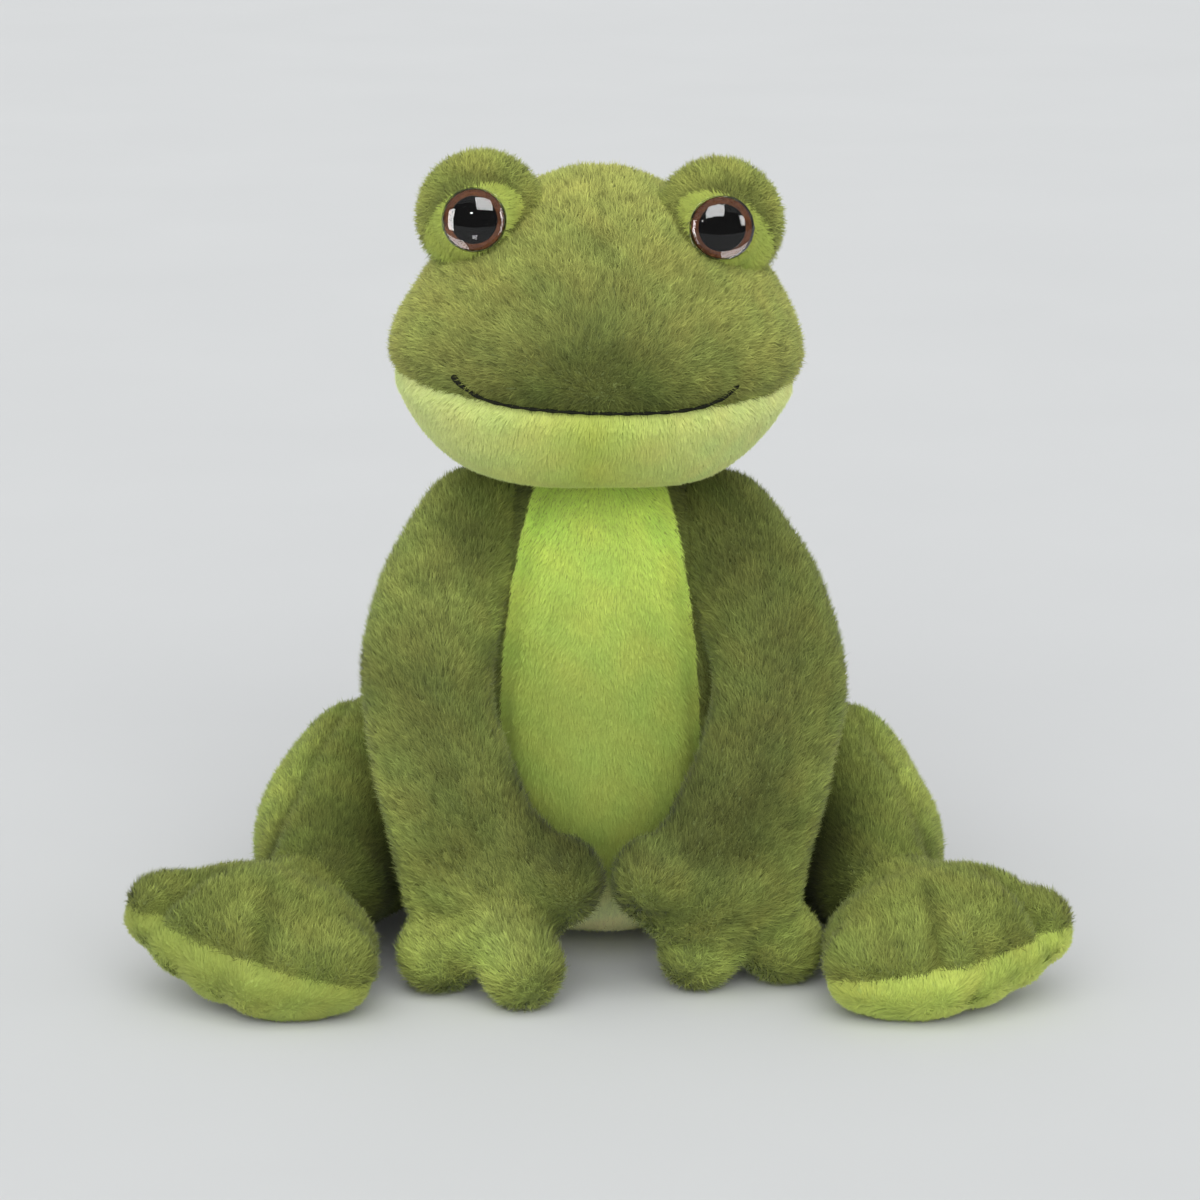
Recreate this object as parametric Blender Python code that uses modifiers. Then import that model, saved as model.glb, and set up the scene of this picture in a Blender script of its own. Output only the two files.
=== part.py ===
"""A seated plush frog: skins sewn from plush panels, fibre filling, a pellet bag in the seat and safety eyes.

The frog faces -Y and its own left side is +X. Its seat rests on the plane Z = 0, around the origin.
"""

import math

import bmesh
import bpy
from mathutils import Matrix, Vector

MM = 0.001
OUT_X = Vector((1, 0, 0))
BACK_Y = Vector((0, 1, 0))
UP = Vector((0, 0, 1))
SIDES = (("left", 1), ("right", -1))

# Cloth, gaps and cutters
SKIN = 2.6 * MM  # plush cloth with its pile pressed flat
GAP = 0.3 * MM  # between pieces that touch
FILL_GAP = 0.5 * MM  # between a skin and its filling
FLAT = 0.5 * MM  # how deep a form is cut flat where it rests
CUTTER = 500 * MM  # longer than the whole toy
WELD = 0.01 * MM  # points nearer than this are one
SHARP_TURN = math.radians(50)

# Torso
BODY_HEIGHT = 151.5 * MM  # seat to neck seam
BODY_HALF_WIDTH = 57 * MM
BODY_HALF_DEPTH = 65 * MM
# height, half width and half depth, from the neck down to the seat
BODY_SHARES = (
    (1.05, 0.0, 0.0),
    (1.03, 0.37, 0.31),
    (0.977, 0.50, 0.42),
    (0.858, 0.68, 0.585),
    (0.693, 0.83, 0.77),
    (0.528, 0.947, 0.923),
    (0.363, 0.99, 1.0),
    (0.231, 0.975, 0.954),
    (0.119, 0.87, 0.80),
    (0.040, 0.64, 0.60),
    (0.004, 0.42, 0.40),
)
BELLY_HALF_WIDTH = 37 * MM
BELLY_MIDDLE = 70 * MM  # height of the belly panel's widest place
BELLY_PAST_NECK = 18.5 * MM  # its oval would close this far above the neck seam
BELLY_HALF_HEIGHT = BODY_HEIGHT + BELLY_PAST_NECK - BELLY_MIDDLE
BELLY_BACK = 22 * MM  # how far back the belly panel runs under the seat
BAG_HEIGHT = 40 * MM  # top of the pellet bag

# Head, in its own frame with the neck seam at the origin
HEAD_HEIGHT = 99.5 * MM
HEAD_HALF_WIDTH = 66.5 * MM
HEAD_HALF_DEPTH = 60 * MM
HEAD_FORWARD = 22.5 * MM
HEAD_ROLL = math.radians(1.8)
NECK_SIDE = -2.7 * MM  # the head sits this far to the toy's right
# height, half width, half depth and forward place, from the crown down past the neck seam
HEAD_SHARES = (
    (1.0, 0.0, 0.0, 0.50),
    (0.955, 0.33, 0.36, 0.50),
    (0.85, 0.59, 0.64, 0.58),
    (0.72, 0.775, 0.82, 0.71),
    (0.61, 0.89, 0.93, 0.83),
    (0.50, 0.99, 0.985, 0.94),
    (0.39, 1.0, 0.985, 1.0),
    (0.27, 0.935, 0.93, 0.99),
    (0.15, 0.80, 0.80, 0.91),
    (0.06, 0.645, 0.65, 0.78),
    (0.0, 0.50, 0.50, 0.58),
    (-0.05, 0.36, 0.36, 0.44),
    (-0.08, 0.0, 0.0, 0.44),
)
JAW_HEIGHT = 32.7 * MM  # chin seam above the neck seam, at the front of the mouth
JAW_REACH = 80 * MM  # how far forward that place is
JAW_RISE = math.radians(3.7)  # the seam climbs towards the back
JAW_BACK = 8 * MM  # the chin panel ends this far behind the neck's middle
MOUTH_HALF = 44 * MM
MOUTH_LIFT = 6.5 * MM  # how far its corners turn up
MOUTH_TURN_POWER = 7  # how suddenly they do
MOUTH_POINTS = 25
THREAD = 0.8 * MM  # radius of the mouth's thread

# Eye mounds and safety eyes
MOUND_OUT = 36.6 * MM
MOUND_REACH = 24 * MM
MOUND_DROP = 16 * MM  # from the crown down to the mound's middle
MOUND_HEIGHT = HEAD_HEIGHT - MOUND_DROP
MOUND_HALF_WIDTH = 21.2 * MM
MOUND_HALF_HEIGHT = 22 * MM
MOUND_HALF_DEPTH = 21.6 * MM
EYE_YAW = math.radians(7)
EYE_PITCH = math.radians(9)
EYE_DROP = 1 * MM  # the eye sits this far under the mound's middle line
EYE_RADIUS = 10.2 * MM
EYE_SEAT = 19.9 * MM  # from the mound's middle out to the flat under the eye
EYE_DOME = 5.6 * MM
DOME_TURNS = tuple(math.radians(turn) for turn in (0, 18, 36, 54, 72, 90))
EYE_RIM = 0.7 * MM  # wall of the lens around the iris
EYE_BACK = 1 * MM  # thickness of the backing disc
IRIS_THICK = 0.5 * MM
PUPIL_SHARE = 0.73
POST_RADIUS = 2 * MM
POST_RIB = 0.5 * MM
POST_LENGTH = 9 * MM
POST_RIBS = 3
WASHER_RADIUS = 6.5 * MM
WASHER_THICK = 1.4 * MM
WASHER_DEPTH = 3.6 * MM  # from the eye's seat in to the washer's near face
PATCH_HALF_LENGTH = 19.5 * MM
PATCH_HALF_WIDTH = 11.5 * MM
PATCH_TILT = math.radians(32)
PATCH_START = 5 * MM  # how far in front of the mound's middle the light patch begins

# Arms
SHOULDER_DROP = 22.5 * MM  # from the neck seam down to the shoulder's axis
SHOULDER_HEIGHT = BODY_HEIGHT - SHOULDER_DROP
SHOULDER_REACH = 2 * MM
SHOULDER_SEAM = 34 * MM  # the flat where the arm is sewn on
SHOULDER_PAD = 19 * MM
PAD_OUT = 18 * MM
SHOULDER_SEAT = 24 * MM  # radius of that flat
SHOULDER_DRUM = 40 * MM  # within this distance of the shoulder's axis the arm stays outside its seam
ARM_OUT_LEFT = 57 * MM
ARM_OUT_RIGHT = 55 * MM
ARM_OUT = {"left": ARM_OUT_LEFT, "right": ARM_OUT_RIGHT}
ARM_REACH = 83 * MM
ARM_SEAM_REACH = 7 * MM  # the arm's long seams pass this far in front of the shoulder
ARM_RADIUS = 20.5 * MM
# outward place, reach, height, half width and half thickness, from the shoulder to the palm
ARM_SHARES = (
    (0.74, 0.024, 1.0, 0.92, 0.92),
    (0.88, 0.31, 0.876, 1.03, 1.0),
    (1.0, 0.566, 0.70, 1.06, 1.03),
    (0.92, 0.77, 0.535, 1.06, 1.0),
    (0.78, 0.915, 0.38, 1.12, 0.93),
    (0.69, 1.0, 0.264, 1.22, 0.78),
)
FINGERS = 3
FINGER_START_SHARE = 0.3  # of the way from palm to fingertip
FINGER_RADIUS = 13 * MM
# outward place, reach, height and radius of each fingertip, the thumb last
FINGER_SHARES = {
    "left": ((0.544, 0.988, 0.097, 1.0), (1.008, 0.916, 0.097, 1.0), (0.305, 1.048, 0.285, 1.1)),
    "right": ((0.482, 1.145, 0.097, 1.0), (0.945, 0.964, 0.097, 1.0), (0.225, 1.048, 0.285, 1.1)),
}

# Legs
HIP_HEIGHT = 38 * MM
HIP_BACK = 4 * MM
HIP_SEAM = 56.3 * MM  # where the leg meets the torso on the hip's axis
HIP_CURVE = 90 * MM  # radius of the round face they share
HIP_SEAT = 37 * MM  # radius of the hollow that the haunch sits in
HAUNCH_OUT = 71 * MM
HAUNCH_RADIUS = 35.5 * MM
ANKLE_OUT = 87 * MM
ANKLE_REACH = 62 * MM
ANKLE_HEIGHT = 29 * MM
ANKLE_RADIUS = 22.5 * MM
ANKLE_GAP = 0.7 * MM
ANKLE_SWING = math.radians(12)
# along from haunch to ankle, and radius between the two
SHANK_SHARES = ((0.0, 0.0), (0.28, 0.30), (0.60, 0.72), (1.0, 1.0))
LEG_SEAM_OUT = 9 * MM  # the leg's top seam runs this far outside its middle

# Feet
FOOT_OUT = 103 * MM
FOOT_REACH = 92 * MM
FOOT_HEIGHT = 21 * MM
FOOT_HALF_WIDTH = 34 * MM
FOOT_HALF_LENGTH = 28 * MM
FOOT_HALF_THICK = 20 * MM
TOE_RADIUS = 14 * MM
# outward place, reach, height and radius of each toe's tip: outer, middle, inner
TOE_SHARES = {
    "left": ((1.31, 0.975, 1.0, 0.93), (1.01, 1.20, 0.74, 1.13), (0.806, 1.19, 0.74, 1.07)),
    "right": ((1.30, 0.975, 1.24, 1.0), (1.01, 1.20, 0.74, 1.13), (0.806, 1.19, 0.74, 1.07)),
}
TOES = 3
TOE_START_SHARE = 0.5  # of the way from ankle to the middle of the foot
# the sole's seam: its height at the middle of the foot, and its climb outwards
SOLE_HEIGHT_LEFT = 17.5 * MM
SOLE_HEIGHT_RIGHT = 20 * MM
SOLE_HEIGHT = {"left": SOLE_HEIGHT_LEFT, "right": SOLE_HEIGHT_RIGHT}
SOLE_TILT = {"left": math.radians(8), "right": math.radians(18)}

# Facets
FORM_SEGMENTS = 16
ROUND_SEGMENTS = 20
LIMB_SEGMENTS = 10
MOUND_SEGMENTS = 12
FINGER_SEGMENTS = 8
TURNED_STEPS = 14
CAP_TURNS = (math.radians(60), math.radians(30))

DARK_PLUSH = ("dark green plush", (98, 124, 52), 0.9)
LEG_PLUSH = ("leg green plush", (104, 132, 54), 0.9)
LIGHT_PLUSH = ("light green plush", (152, 192, 76), 0.9)
CHIN_PLUSH = ("chin green plush", (168, 198, 96), 0.9)
FIBRE = ("polyester fibre", (236, 236, 230), 1.0)
COTTON = ("cotton bag", (214, 204, 180), 0.95)
THREAD_BLACK = ("black thread", (34, 36, 24), 0.6)
CLEAR = ("clear acrylic", (225, 228, 230), 0.04)
IRIS_BROWN = ("brown iris", (112, 62, 42), 0.3)
BLACK_PLASTIC = ("black plastic", (12, 12, 12), 0.25)
WASHER_WHITE = ("white nylon", (232, 232, 228), 0.5)

for startup_object in list(bpy.data.objects):
    bpy.data.objects.remove(startup_object)

toy = bpy.data.collections.new("plush_frog")
cutters = bpy.data.collections.new("cutters")
bpy.context.scene.collection.children.link(toy)
bpy.context.scene.collection.children.link(cutters)


def linear(channel):
    """A channel of 0 to 255 as the light that it stands for."""
    value = channel / 255
    return value / 12.92 if value <= 0.04045 else ((value + 0.055) / 1.055) ** 2.4


def material(finish):
    name, colour, roughness = finish
    made = bpy.data.materials.get(name)
    if made is None:
        made = bpy.data.materials.new(name)
        made.use_nodes = True
        shader = made.node_tree.nodes["Principled BSDF"]
        shader.inputs["Base Color"].default_value = (*map(linear, colour), 1)
        shader.inputs["Roughness"].default_value = roughness
        shader.inputs["Metallic"].default_value = 0
    return made


def guide(name, form, carrier=None):
    """A hidden cutter or half-made form from a bmesh, in its carrier's frame."""
    mesh = bpy.data.meshes.new(name)
    form.to_mesh(mesh)
    form.free()
    made = bpy.data.objects.new(name, mesh)
    cutters.objects.link(made)
    made.parent = carrier
    made.hide_render = True
    made.display_type = "WIRE"
    return made


def carve(piece, operation, *tools):
    for tool in tools:
        step = piece.modifiers.new(tool.name, "BOOLEAN")
        step.operation = operation
        step.object = tool


def settle(form):
    """Makes a form's cuts and joins part of its mesh."""
    bpy.context.view_layer.update()
    seen = form.evaluated_get(bpy.context.evaluated_depsgraph_get())
    mesh = bpy.data.meshes.new_from_object(seen)
    form.modifiers.clear()
    form.data = mesh
    return form


def axis_empty(name, place, turn=None, carrier=None):
    """An empty on a joint's axis, or at the middle of a group."""
    made = bpy.data.objects.new(name, None)
    toy.objects.link(made)
    made.empty_display_size = SHOULDER_SEAT
    made.matrix_basis = Matrix.Translation(place) @ (turn or Matrix())
    made.parent = carrier
    bpy.context.view_layer.update()
    return made


def dress(piece, finish, carrier):
    """Puts a piece in the toy with its material, moving with its carrier from where it lies."""
    for owner in list(piece.users_collection):
        owner.objects.unlink(piece)
    toy.objects.link(piece)
    piece.hide_render = False
    piece.display_type = "TEXTURED"
    piece.data.materials.clear()
    piece.data.materials.append(material(finish))
    piece.data.shade_smooth()
    piece.data.set_sharp_from_angle(angle=SHARP_TURN)
    if piece.parent is None and carrier is not None:
        piece.parent = carrier
        piece.matrix_parent_inverse = carrier.matrix_world.inverted()
    return piece


def sewn_panel(name, finish, outside, inside, keep, drop, carrier):
    """One skin panel: the wall between two forms, inside every keep and outside every drop."""
    piece = outside.copy()
    piece.data = outside.data.copy()
    piece.name = name
    cutters.objects.link(piece)
    carve(piece, "DIFFERENCE", inside)
    carve(piece, "INTERSECT", *keep)
    carve(piece, "DIFFERENCE", *drop)
    return dress(piece, finish, carrier)


def along(way):
    """The turn that takes +Z to a direction."""
    return way.to_track_quat("Z", "Y").to_matrix().to_4x4()


def block(name, place, way, carrier=None):
    """A block that fills all that lies beyond a plane, on the side the way points to."""
    form = bmesh.new()
    middle = place + way * CUTTER / 2
    bmesh.ops.create_cube(form, size=CUTTER, matrix=Matrix.Translation(middle) @ along(way))
    return guide(name, form, carrier)


def ball(name, place, radii, segments, carrier=None, turn=None):
    form = bmesh.new()
    matrix = Matrix.Translation(place) @ (turn or Matrix()) @ Matrix.Diagonal((*radii, 1))
    bmesh.ops.create_uvsphere(
        form, u_segments=segments, v_segments=segments // 2 + 1, radius=1, matrix=matrix
    )
    return guide(name, form, carrier)


def drum(name, start, way, radius, length, segments, carrier=None, stretch=1):
    """A cylinder from its start along a direction, flattened by the stretch across its own Y."""
    form = bmesh.new()
    middle = Matrix.Translation(start + way * length / 2)
    bmesh.ops.create_cone(
        form,
        cap_ends=True,
        segments=segments,
        radius1=radius,
        radius2=radius,
        depth=length,
        matrix=middle @ along(way) @ Matrix.Diagonal((1, stretch, 1, 1)),
    )
    return guide(name, form, carrier)


def ringed(name, rings, segments, carrier=None):
    """A closed form through rings, each a middle and its two half axes, top first."""
    form = bmesh.new()
    last = len(rings) - 1
    bmesh.ops.create_uvsphere(form, u_segments=segments, v_segments=last, radius=1)
    for vert in form.verts:
        place = round(math.acos(max(-1, min(1, vert.co.z))) / math.pi * last)
        turn = math.atan2(vert.co.y, vert.co.x)
        middle, across, thick = rings[place]
        vert.co = middle + across * math.cos(turn) + thick * math.sin(turn)
    bmesh.ops.triangulate(form, faces=form.faces, quad_method="FIXED")
    bmesh.ops.recalc_face_normals(form, faces=form.faces)
    return guide(name, form, carrier)


def limb(name, stations, sideways, inset, segments):
    """A stuffed limb through stations of middle, half width and half thickness, round at both ends."""
    rings = []
    last = len(stations) - 1
    for place, (middle, wide, thick) in enumerate(stations):
        way = stations[min(place + 1, last)][0] - stations[max(place - 1, 0)][0]
        way.normalize()
        across = (sideways - way * sideways.dot(way)).normalized()
        rings.append((middle, across * (wide - inset), way.cross(across) * (thick - inset), way))

    def cap(ring, outward):
        middle, across, thick, way = ring
        depth = min(across.length, thick.length) * outward
        tip = (middle + way * depth, across * 0, thick * 0)
        return [tip] + [
            (middle + way * depth * math.sin(turn), across * math.cos(turn), thick * math.cos(turn))
            for turn in CAP_TURNS
        ]

    middles = [ring[:3] for ring in rings]
    return ringed(name, cap(rings[0], -1) + middles + cap(rings[-1], 1)[::-1], segments)


# Joint axes
neck_place = OUT_X * NECK_SIDE + UP * BODY_HEIGHT
neck_axis = axis_empty("neck_axis", neck_place, Matrix.Rotation(HEAD_ROLL, 4, "Y"))
neck_way = (neck_axis.matrix_world.to_3x3() @ UP).normalized()
shoulder_axis = {
    name: axis_empty(
        f"shoulder_{name}_axis",
        OUT_X * side * SHOULDER_SEAM - BACK_Y * SHOULDER_REACH + UP * SHOULDER_HEIGHT,
    )
    for name, side in SIDES
}
hip_axis = {
    name: axis_empty(
        f"hip_{name}_axis", OUT_X * side * HIP_SEAM + BACK_Y * HIP_BACK + UP * HIP_HEIGHT
    )
    for name, side in SIDES
}
ankle_middle = {
    name: OUT_X * side * ANKLE_OUT - BACK_Y * ANKLE_REACH + UP * ANKLE_HEIGHT for name, side in SIDES
}
haunch_middle = {
    name: OUT_X * side * HAUNCH_OUT + BACK_Y * HIP_BACK + UP * HIP_HEIGHT for name, side in SIDES
}


def foot_way(name):
    """The level direction in which the foot points, out from the ankle."""
    toe_out, toe_reach = TOE_SHARES[name][1][:2]
    side = dict(SIDES)[name]
    tip = OUT_X * side * toe_out * FOOT_OUT - BACK_Y * toe_reach * FOOT_REACH
    way = tip - ankle_middle[name]
    way.z = 0
    return way.normalized()


def ankle_way(name):
    """The ankle's level axis, square to the foot."""
    return foot_way(name).cross(UP) * -1


ankle_axis = {
    name: axis_empty(f"ankle_{name}_axis", ankle_middle[name], along(ankle_way(name)))
    for name, side in SIDES
}
for name, side in SIDES:
    ankle_axis[name].parent = hip_axis[name]
    ankle_axis[name].matrix_parent_inverse = hip_axis[name].matrix_world.inverted()
bpy.context.view_layer.update()


def body_swell(name, inset, segments):
    """The torso's egg with its shoulder pads, before anything is cut from it."""
    rings = []
    top, bottom = BODY_SHARES[0][0] * BODY_HEIGHT, -FLAT
    heights = [share[0] * BODY_HEIGHT for share in BODY_SHARES] + [bottom]
    middle, squeeze = (top + bottom) / 2, 1 - 2 * inset / (top - bottom)
    for height, (_, wide, deep) in zip(heights, (*BODY_SHARES, (0, 0, 0))):
        across = OUT_X * max(0, BODY_HALF_WIDTH * wide - inset) * bool(wide)
        thick = BACK_Y * max(0, BODY_HALF_DEPTH * deep - inset) * bool(deep)
        rings.append((UP * (middle + (height - middle) * squeeze), across, thick))
    swell = ringed(name, rings, segments)
    pads = [
        ball(
            f"{name}_pad",
            OUT_X * side * PAD_OUT - BACK_Y * SHOULDER_REACH + UP * SHOULDER_HEIGHT,
            [SHOULDER_PAD - inset] * 3,
            LIMB_SEGMENTS,
        )
        for _, side in SIDES
    ]
    carve(swell, "UNION", *pads)
    return settle(swell)


def hip_face(name, side, radius):
    """The round face, turned about the hip's axis, that torso and leg share."""
    middle = OUT_X * side * (HIP_SEAM - HIP_CURVE) + BACK_Y * HIP_BACK + UP * HIP_HEIGHT
    return ball(name, middle, [radius] * 3, ROUND_SEGMENTS, turn=along(OUT_X * side))


def body_form(name, inset, segments):
    form = body_swell(name, inset, segments)
    tools = [
        block(f"{name}_floor", UP * inset, -UP),
        block(f"{name}_neck", neck_place - neck_way * inset, neck_way),
    ]
    for side_name, side in SIDES:
        shoulder = -BACK_Y * SHOULDER_REACH + UP * SHOULDER_HEIGHT
        tools.append(
            drum(
                f"{name}_shoulder_{side_name}",
                OUT_X * side * (SHOULDER_SEAM - inset) + shoulder,
                OUT_X * side,
                SHOULDER_SEAT + inset,
                BODY_HALF_WIDTH,
                FORM_SEGMENTS,
            )
        )
        socket = drum(
            f"{name}_hip_{side_name}",
            OUT_X * side * HIP_SEAM / 2 + BACK_Y * HIP_BACK + UP * HIP_HEIGHT,
            OUT_X * side,
            HIP_SEAT + inset,
            HIP_SEAM,
            FORM_SEGMENTS,
        )
        face = hip_face(f"{name}_face_{side_name}", side, HIP_CURVE - GAP - inset)
        carve(socket, "DIFFERENCE", face)
        tools.append(settle(socket))
    carve(form, "DIFFERENCE", *tools)
    return settle(form)


def belly_region(name, spread):
    """The oval that the light belly panel fills, running back under the seat."""
    return drum(
        name,
        BACK_Y * (BELLY_BACK + spread) + UP * BELLY_MIDDLE,
        -BACK_Y,
        BELLY_HALF_WIDTH + spread,
        CUTTER / 2,
        ROUND_SEGMENTS,
        stretch=(BELLY_HALF_HEIGHT + spread) / (BELLY_HALF_WIDTH + spread),
    )


def body_pieces():
    outside = body_form("body_outside", 0, FORM_SEGMENTS)
    inside = body_form("body_inside", SKIN, FORM_SEGMENTS)
    filling = body_form("body_filling", SKIN + FILL_GAP, FORM_SEGMENTS)
    belly = belly_region("belly_region", 0)
    around = belly_region("belly_around", GAP)
    sewn_panel("belly_skin", LIGHT_PLUSH, outside, inside, [belly], [], None)
    for name, side in SIDES:
        half = block(f"back_{name}_half", OUT_X * side * GAP / 2, OUT_X * side)
        sewn_panel(f"back_skin_{name}", DARK_PLUSH, outside, inside, [half], [around], None)
    lower = filling.copy()
    lower.data = filling.data.copy()
    cutters.objects.link(lower)
    carve(filling, "DIFFERENCE", block("bag_below", UP * (BAG_HEIGHT + GAP), -UP))
    filling.name = "body_filling_fibre"
    dress(filling, FIBRE, None)
    carve(lower, "DIFFERENCE", block("bag_above", UP * BAG_HEIGHT, UP))
    lower.name = "pellet_bag"
    dress(lower, COTTON, None)


def head_rings(inset):
    top, bottom = HEAD_HEIGHT, HEAD_SHARES[-1][0] * HEAD_HEIGHT
    middle, squeeze = (top + bottom) / 2, 1 - 2 * inset / (top - bottom)
    rings = []
    for height, wide, deep, forward in HEAD_SHARES:
        place = UP * (middle + (height * HEAD_HEIGHT - middle) * squeeze)
        across = OUT_X * max(0, HEAD_HALF_WIDTH * wide - inset) * bool(wide)
        thick = BACK_Y * max(0, HEAD_HALF_DEPTH * deep - inset) * bool(deep)
        rings.append((place - BACK_Y * HEAD_FORWARD * forward, across, thick))
    return rings


def head_form(name, inset, segments):
    form = ringed(name, head_rings(inset), segments, neck_axis)
    carve(form, "DIFFERENCE", block(f"{name}_neck", UP * (GAP + inset), -UP, neck_axis))
    return settle(form)


def chin_region(name, spread):
    """Everything below the chin seam and in front of the jaw's back seam."""
    seam_way = Vector((0, -math.sin(JAW_RISE), math.cos(JAW_RISE)))
    seam = UP * JAW_HEIGHT - BACK_Y * JAW_REACH + seam_way * spread
    region = block(name, seam, -seam_way, neck_axis)
    back = block(f"{name}_back", BACK_Y * (JAW_BACK + spread), BACK_Y, neck_axis)
    carve(region, "DIFFERENCE", back)
    return settle(region)


def mouth_path(head):
    """Points along the smile: on the head's surface by the chin seam, turned up at the corners."""
    points = []
    for count in range(MOUTH_POINTS):
        share = 2 * count / (MOUTH_POINTS - 1) - 1
        lift = MOUTH_LIFT * abs(share) ** MOUTH_TURN_POWER
        reach = JAW_REACH * math.sqrt(1 - (share * MOUTH_HALF / HEAD_HALF_WIDTH) ** 2)
        height = JAW_HEIGHT + (JAW_REACH - reach) * math.tan(JAW_RISE) + lift
        guess = OUT_X * share * MOUTH_HALF - BACK_Y * reach + UP * height
        _, found, _, _ = head.closest_point_on_mesh(guess)
        points.append(Vector(found))
    return points


def thread_tube(name, points, radius):
    curve = bpy.data.curves.new(name, "CURVE")
    curve.dimensions = "3D"
    curve.bevel_depth = radius
    curve.bevel_resolution = 1
    curve.use_fill_caps = True
    spline = curve.splines.new("POLY")
    spline.points.add(len(points) - 1)
    for place, point in zip(spline.points, points):
        place.co = (*point, 1)
    tube = bpy.data.objects.new(f"{name}_curve", curve)
    cutters.objects.link(tube)
    bpy.context.view_layer.update()
    seen = tube.evaluated_get(bpy.context.evaluated_depsgraph_get())
    form = bmesh.new()
    form.from_mesh(bpy.data.meshes.new_from_object(seen))
    bmesh.ops.remove_doubles(form, verts=form.verts, dist=WELD)
    bmesh.ops.recalc_face_normals(form, faces=form.faces)
    bpy.data.objects.remove(tube)
    return guide(name, form, neck_axis)


def head_pieces():
    outside = head_form("head_outside", 0, FORM_SEGMENTS)
    inside = head_form("head_inside", SKIN, FORM_SEGMENTS)
    filling = head_form("head_filling", SKIN + FILL_GAP, FORM_SEGMENTS)
    path = mouth_path(outside)
    groove = thread_tube("mouth_groove", path, THREAD + GAP)
    chin = chin_region("chin_region", 0)
    around = chin_region("chin_around", GAP)
    sewn_panel("chin_skin", CHIN_PLUSH, outside, inside, [chin], [groove], neck_axis)
    for name, side in SIDES:
        half = block(f"head_{name}_half", OUT_X * side * GAP / 2, OUT_X * side, neck_axis)
        sewn_panel(
            f"head_skin_{name}", DARK_PLUSH, outside, inside, [half], [around, groove], neck_axis
        )
    filling.name = "head_filling_fibre"
    dress(filling, FIBRE, neck_axis)
    dress(thread_tube("mouth_thread", path[1:-1], THREAD), THREAD_BLACK, neck_axis)


def turned(name, outline, closed, finish, carrier, depth):
    """A turned piece on the eye's axis from an outline of radius and height."""
    form = bmesh.new()
    verts = [form.verts.new((radius, 0, height + depth)) for radius, height in outline]
    for first, second in zip(verts, verts[1:]):
        form.edges.new((first, second))
    if closed:
        form.edges.new((verts[-1], verts[0]))
    piece = guide(name, form, carrier)
    spin = piece.modifiers.new("turn", "SCREW")
    spin.steps = spin.render_steps = TURNED_STEPS
    spin.use_merge_vertices = True
    spin.merge_threshold = WELD
    return dress(piece, finish, carrier)


def eye_pieces(name, eye_axis):
    """A safety eye: clear dome, iris ring and pupil against its ceiling, ribbed post and lock washer."""
    low = EYE_SEAT + GAP
    iris_place = EYE_BACK + GAP
    ceiling = iris_place + IRIS_THICK + GAP
    dome = [
        (EYE_RADIUS * math.sin(turn), ceiling + (EYE_DOME - ceiling) * math.cos(turn))
        for turn in DOME_TURNS
    ]
    hollow = EYE_RADIUS - EYE_RIM
    lens = dome + [(EYE_RADIUS, 0), (hollow, 0), (hollow, ceiling), (0, ceiling)]
    turned(f"eye_lens_{name}", lens, False, CLEAR, eye_axis, low)
    disc = hollow - GAP
    hole = disc * PUPIL_SHARE
    top = iris_place + IRIS_THICK
    iris = [(disc, top), (disc, iris_place), (hole, iris_place), (hole, top)]
    turned(f"eye_iris_{name}", iris, True, IRIS_BROWN, eye_axis, low)
    pupil_edge = hole - GAP
    pupil = [(0, top), (pupil_edge, top), (pupil_edge, iris_place), (0, iris_place)]
    turned(f"eye_pupil_{name}", pupil, False, BLACK_PLASTIC, eye_axis, low)
    post = [(0, EYE_BACK), (disc, EYE_BACK), (disc, 0), (POST_RADIUS, 0)]
    step = (POST_LENGTH - WASHER_DEPTH - WASHER_THICK) / POST_RIBS
    start = -WASHER_DEPTH - WASHER_THICK - 2 * GAP
    for count in range(POST_RIBS):
        rib = start - step * count
        post += [(POST_RADIUS, rib), (POST_RADIUS + POST_RIB, rib), (POST_RADIUS, rib - step / 2)]
    post.append((0, start - step * POST_RIBS))
    turned(f"eye_post_{name}", post, False, BLACK_PLASTIC, eye_axis, low)
    near, far = -WASHER_DEPTH, -WASHER_DEPTH - WASHER_THICK
    bore = POST_RADIUS + GAP
    washer = [(WASHER_RADIUS, near), (WASHER_RADIUS, far), (bore, far), (bore, near)]
    turned(f"eye_washer_{name}", washer, True, WASHER_WHITE, eye_axis, low)


def mound_form(name, inset, room, eye_axis):
    """The mound's egg, open to the head, which it clears by the room."""
    radii = [MOUND_HALF_WIDTH - inset, MOUND_HALF_HEIGHT - inset, MOUND_HALF_DEPTH - inset]
    form = ball(name, Vector(), radii, MOUND_SEGMENTS, eye_axis)
    carve(form, "DIFFERENCE", ringed(f"{name}_head", head_rings(-room), FORM_SEGMENTS, neck_axis))
    return settle(form)


def patch_region(name, spread, eye_axis, side):
    """The tilted almond of light plush under the eye."""
    half_length = PATCH_HALF_LENGTH + spread
    region = drum(
        name,
        UP * (PATCH_START - spread),
        UP,
        half_length,
        CUTTER / 2,
        FORM_SEGMENTS,
        eye_axis,
        stretch=(PATCH_HALF_WIDTH + spread) / half_length,
    )
    region.matrix_basis = Matrix.Rotation(-side * PATCH_TILT, 4, "Z")
    return region


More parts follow.
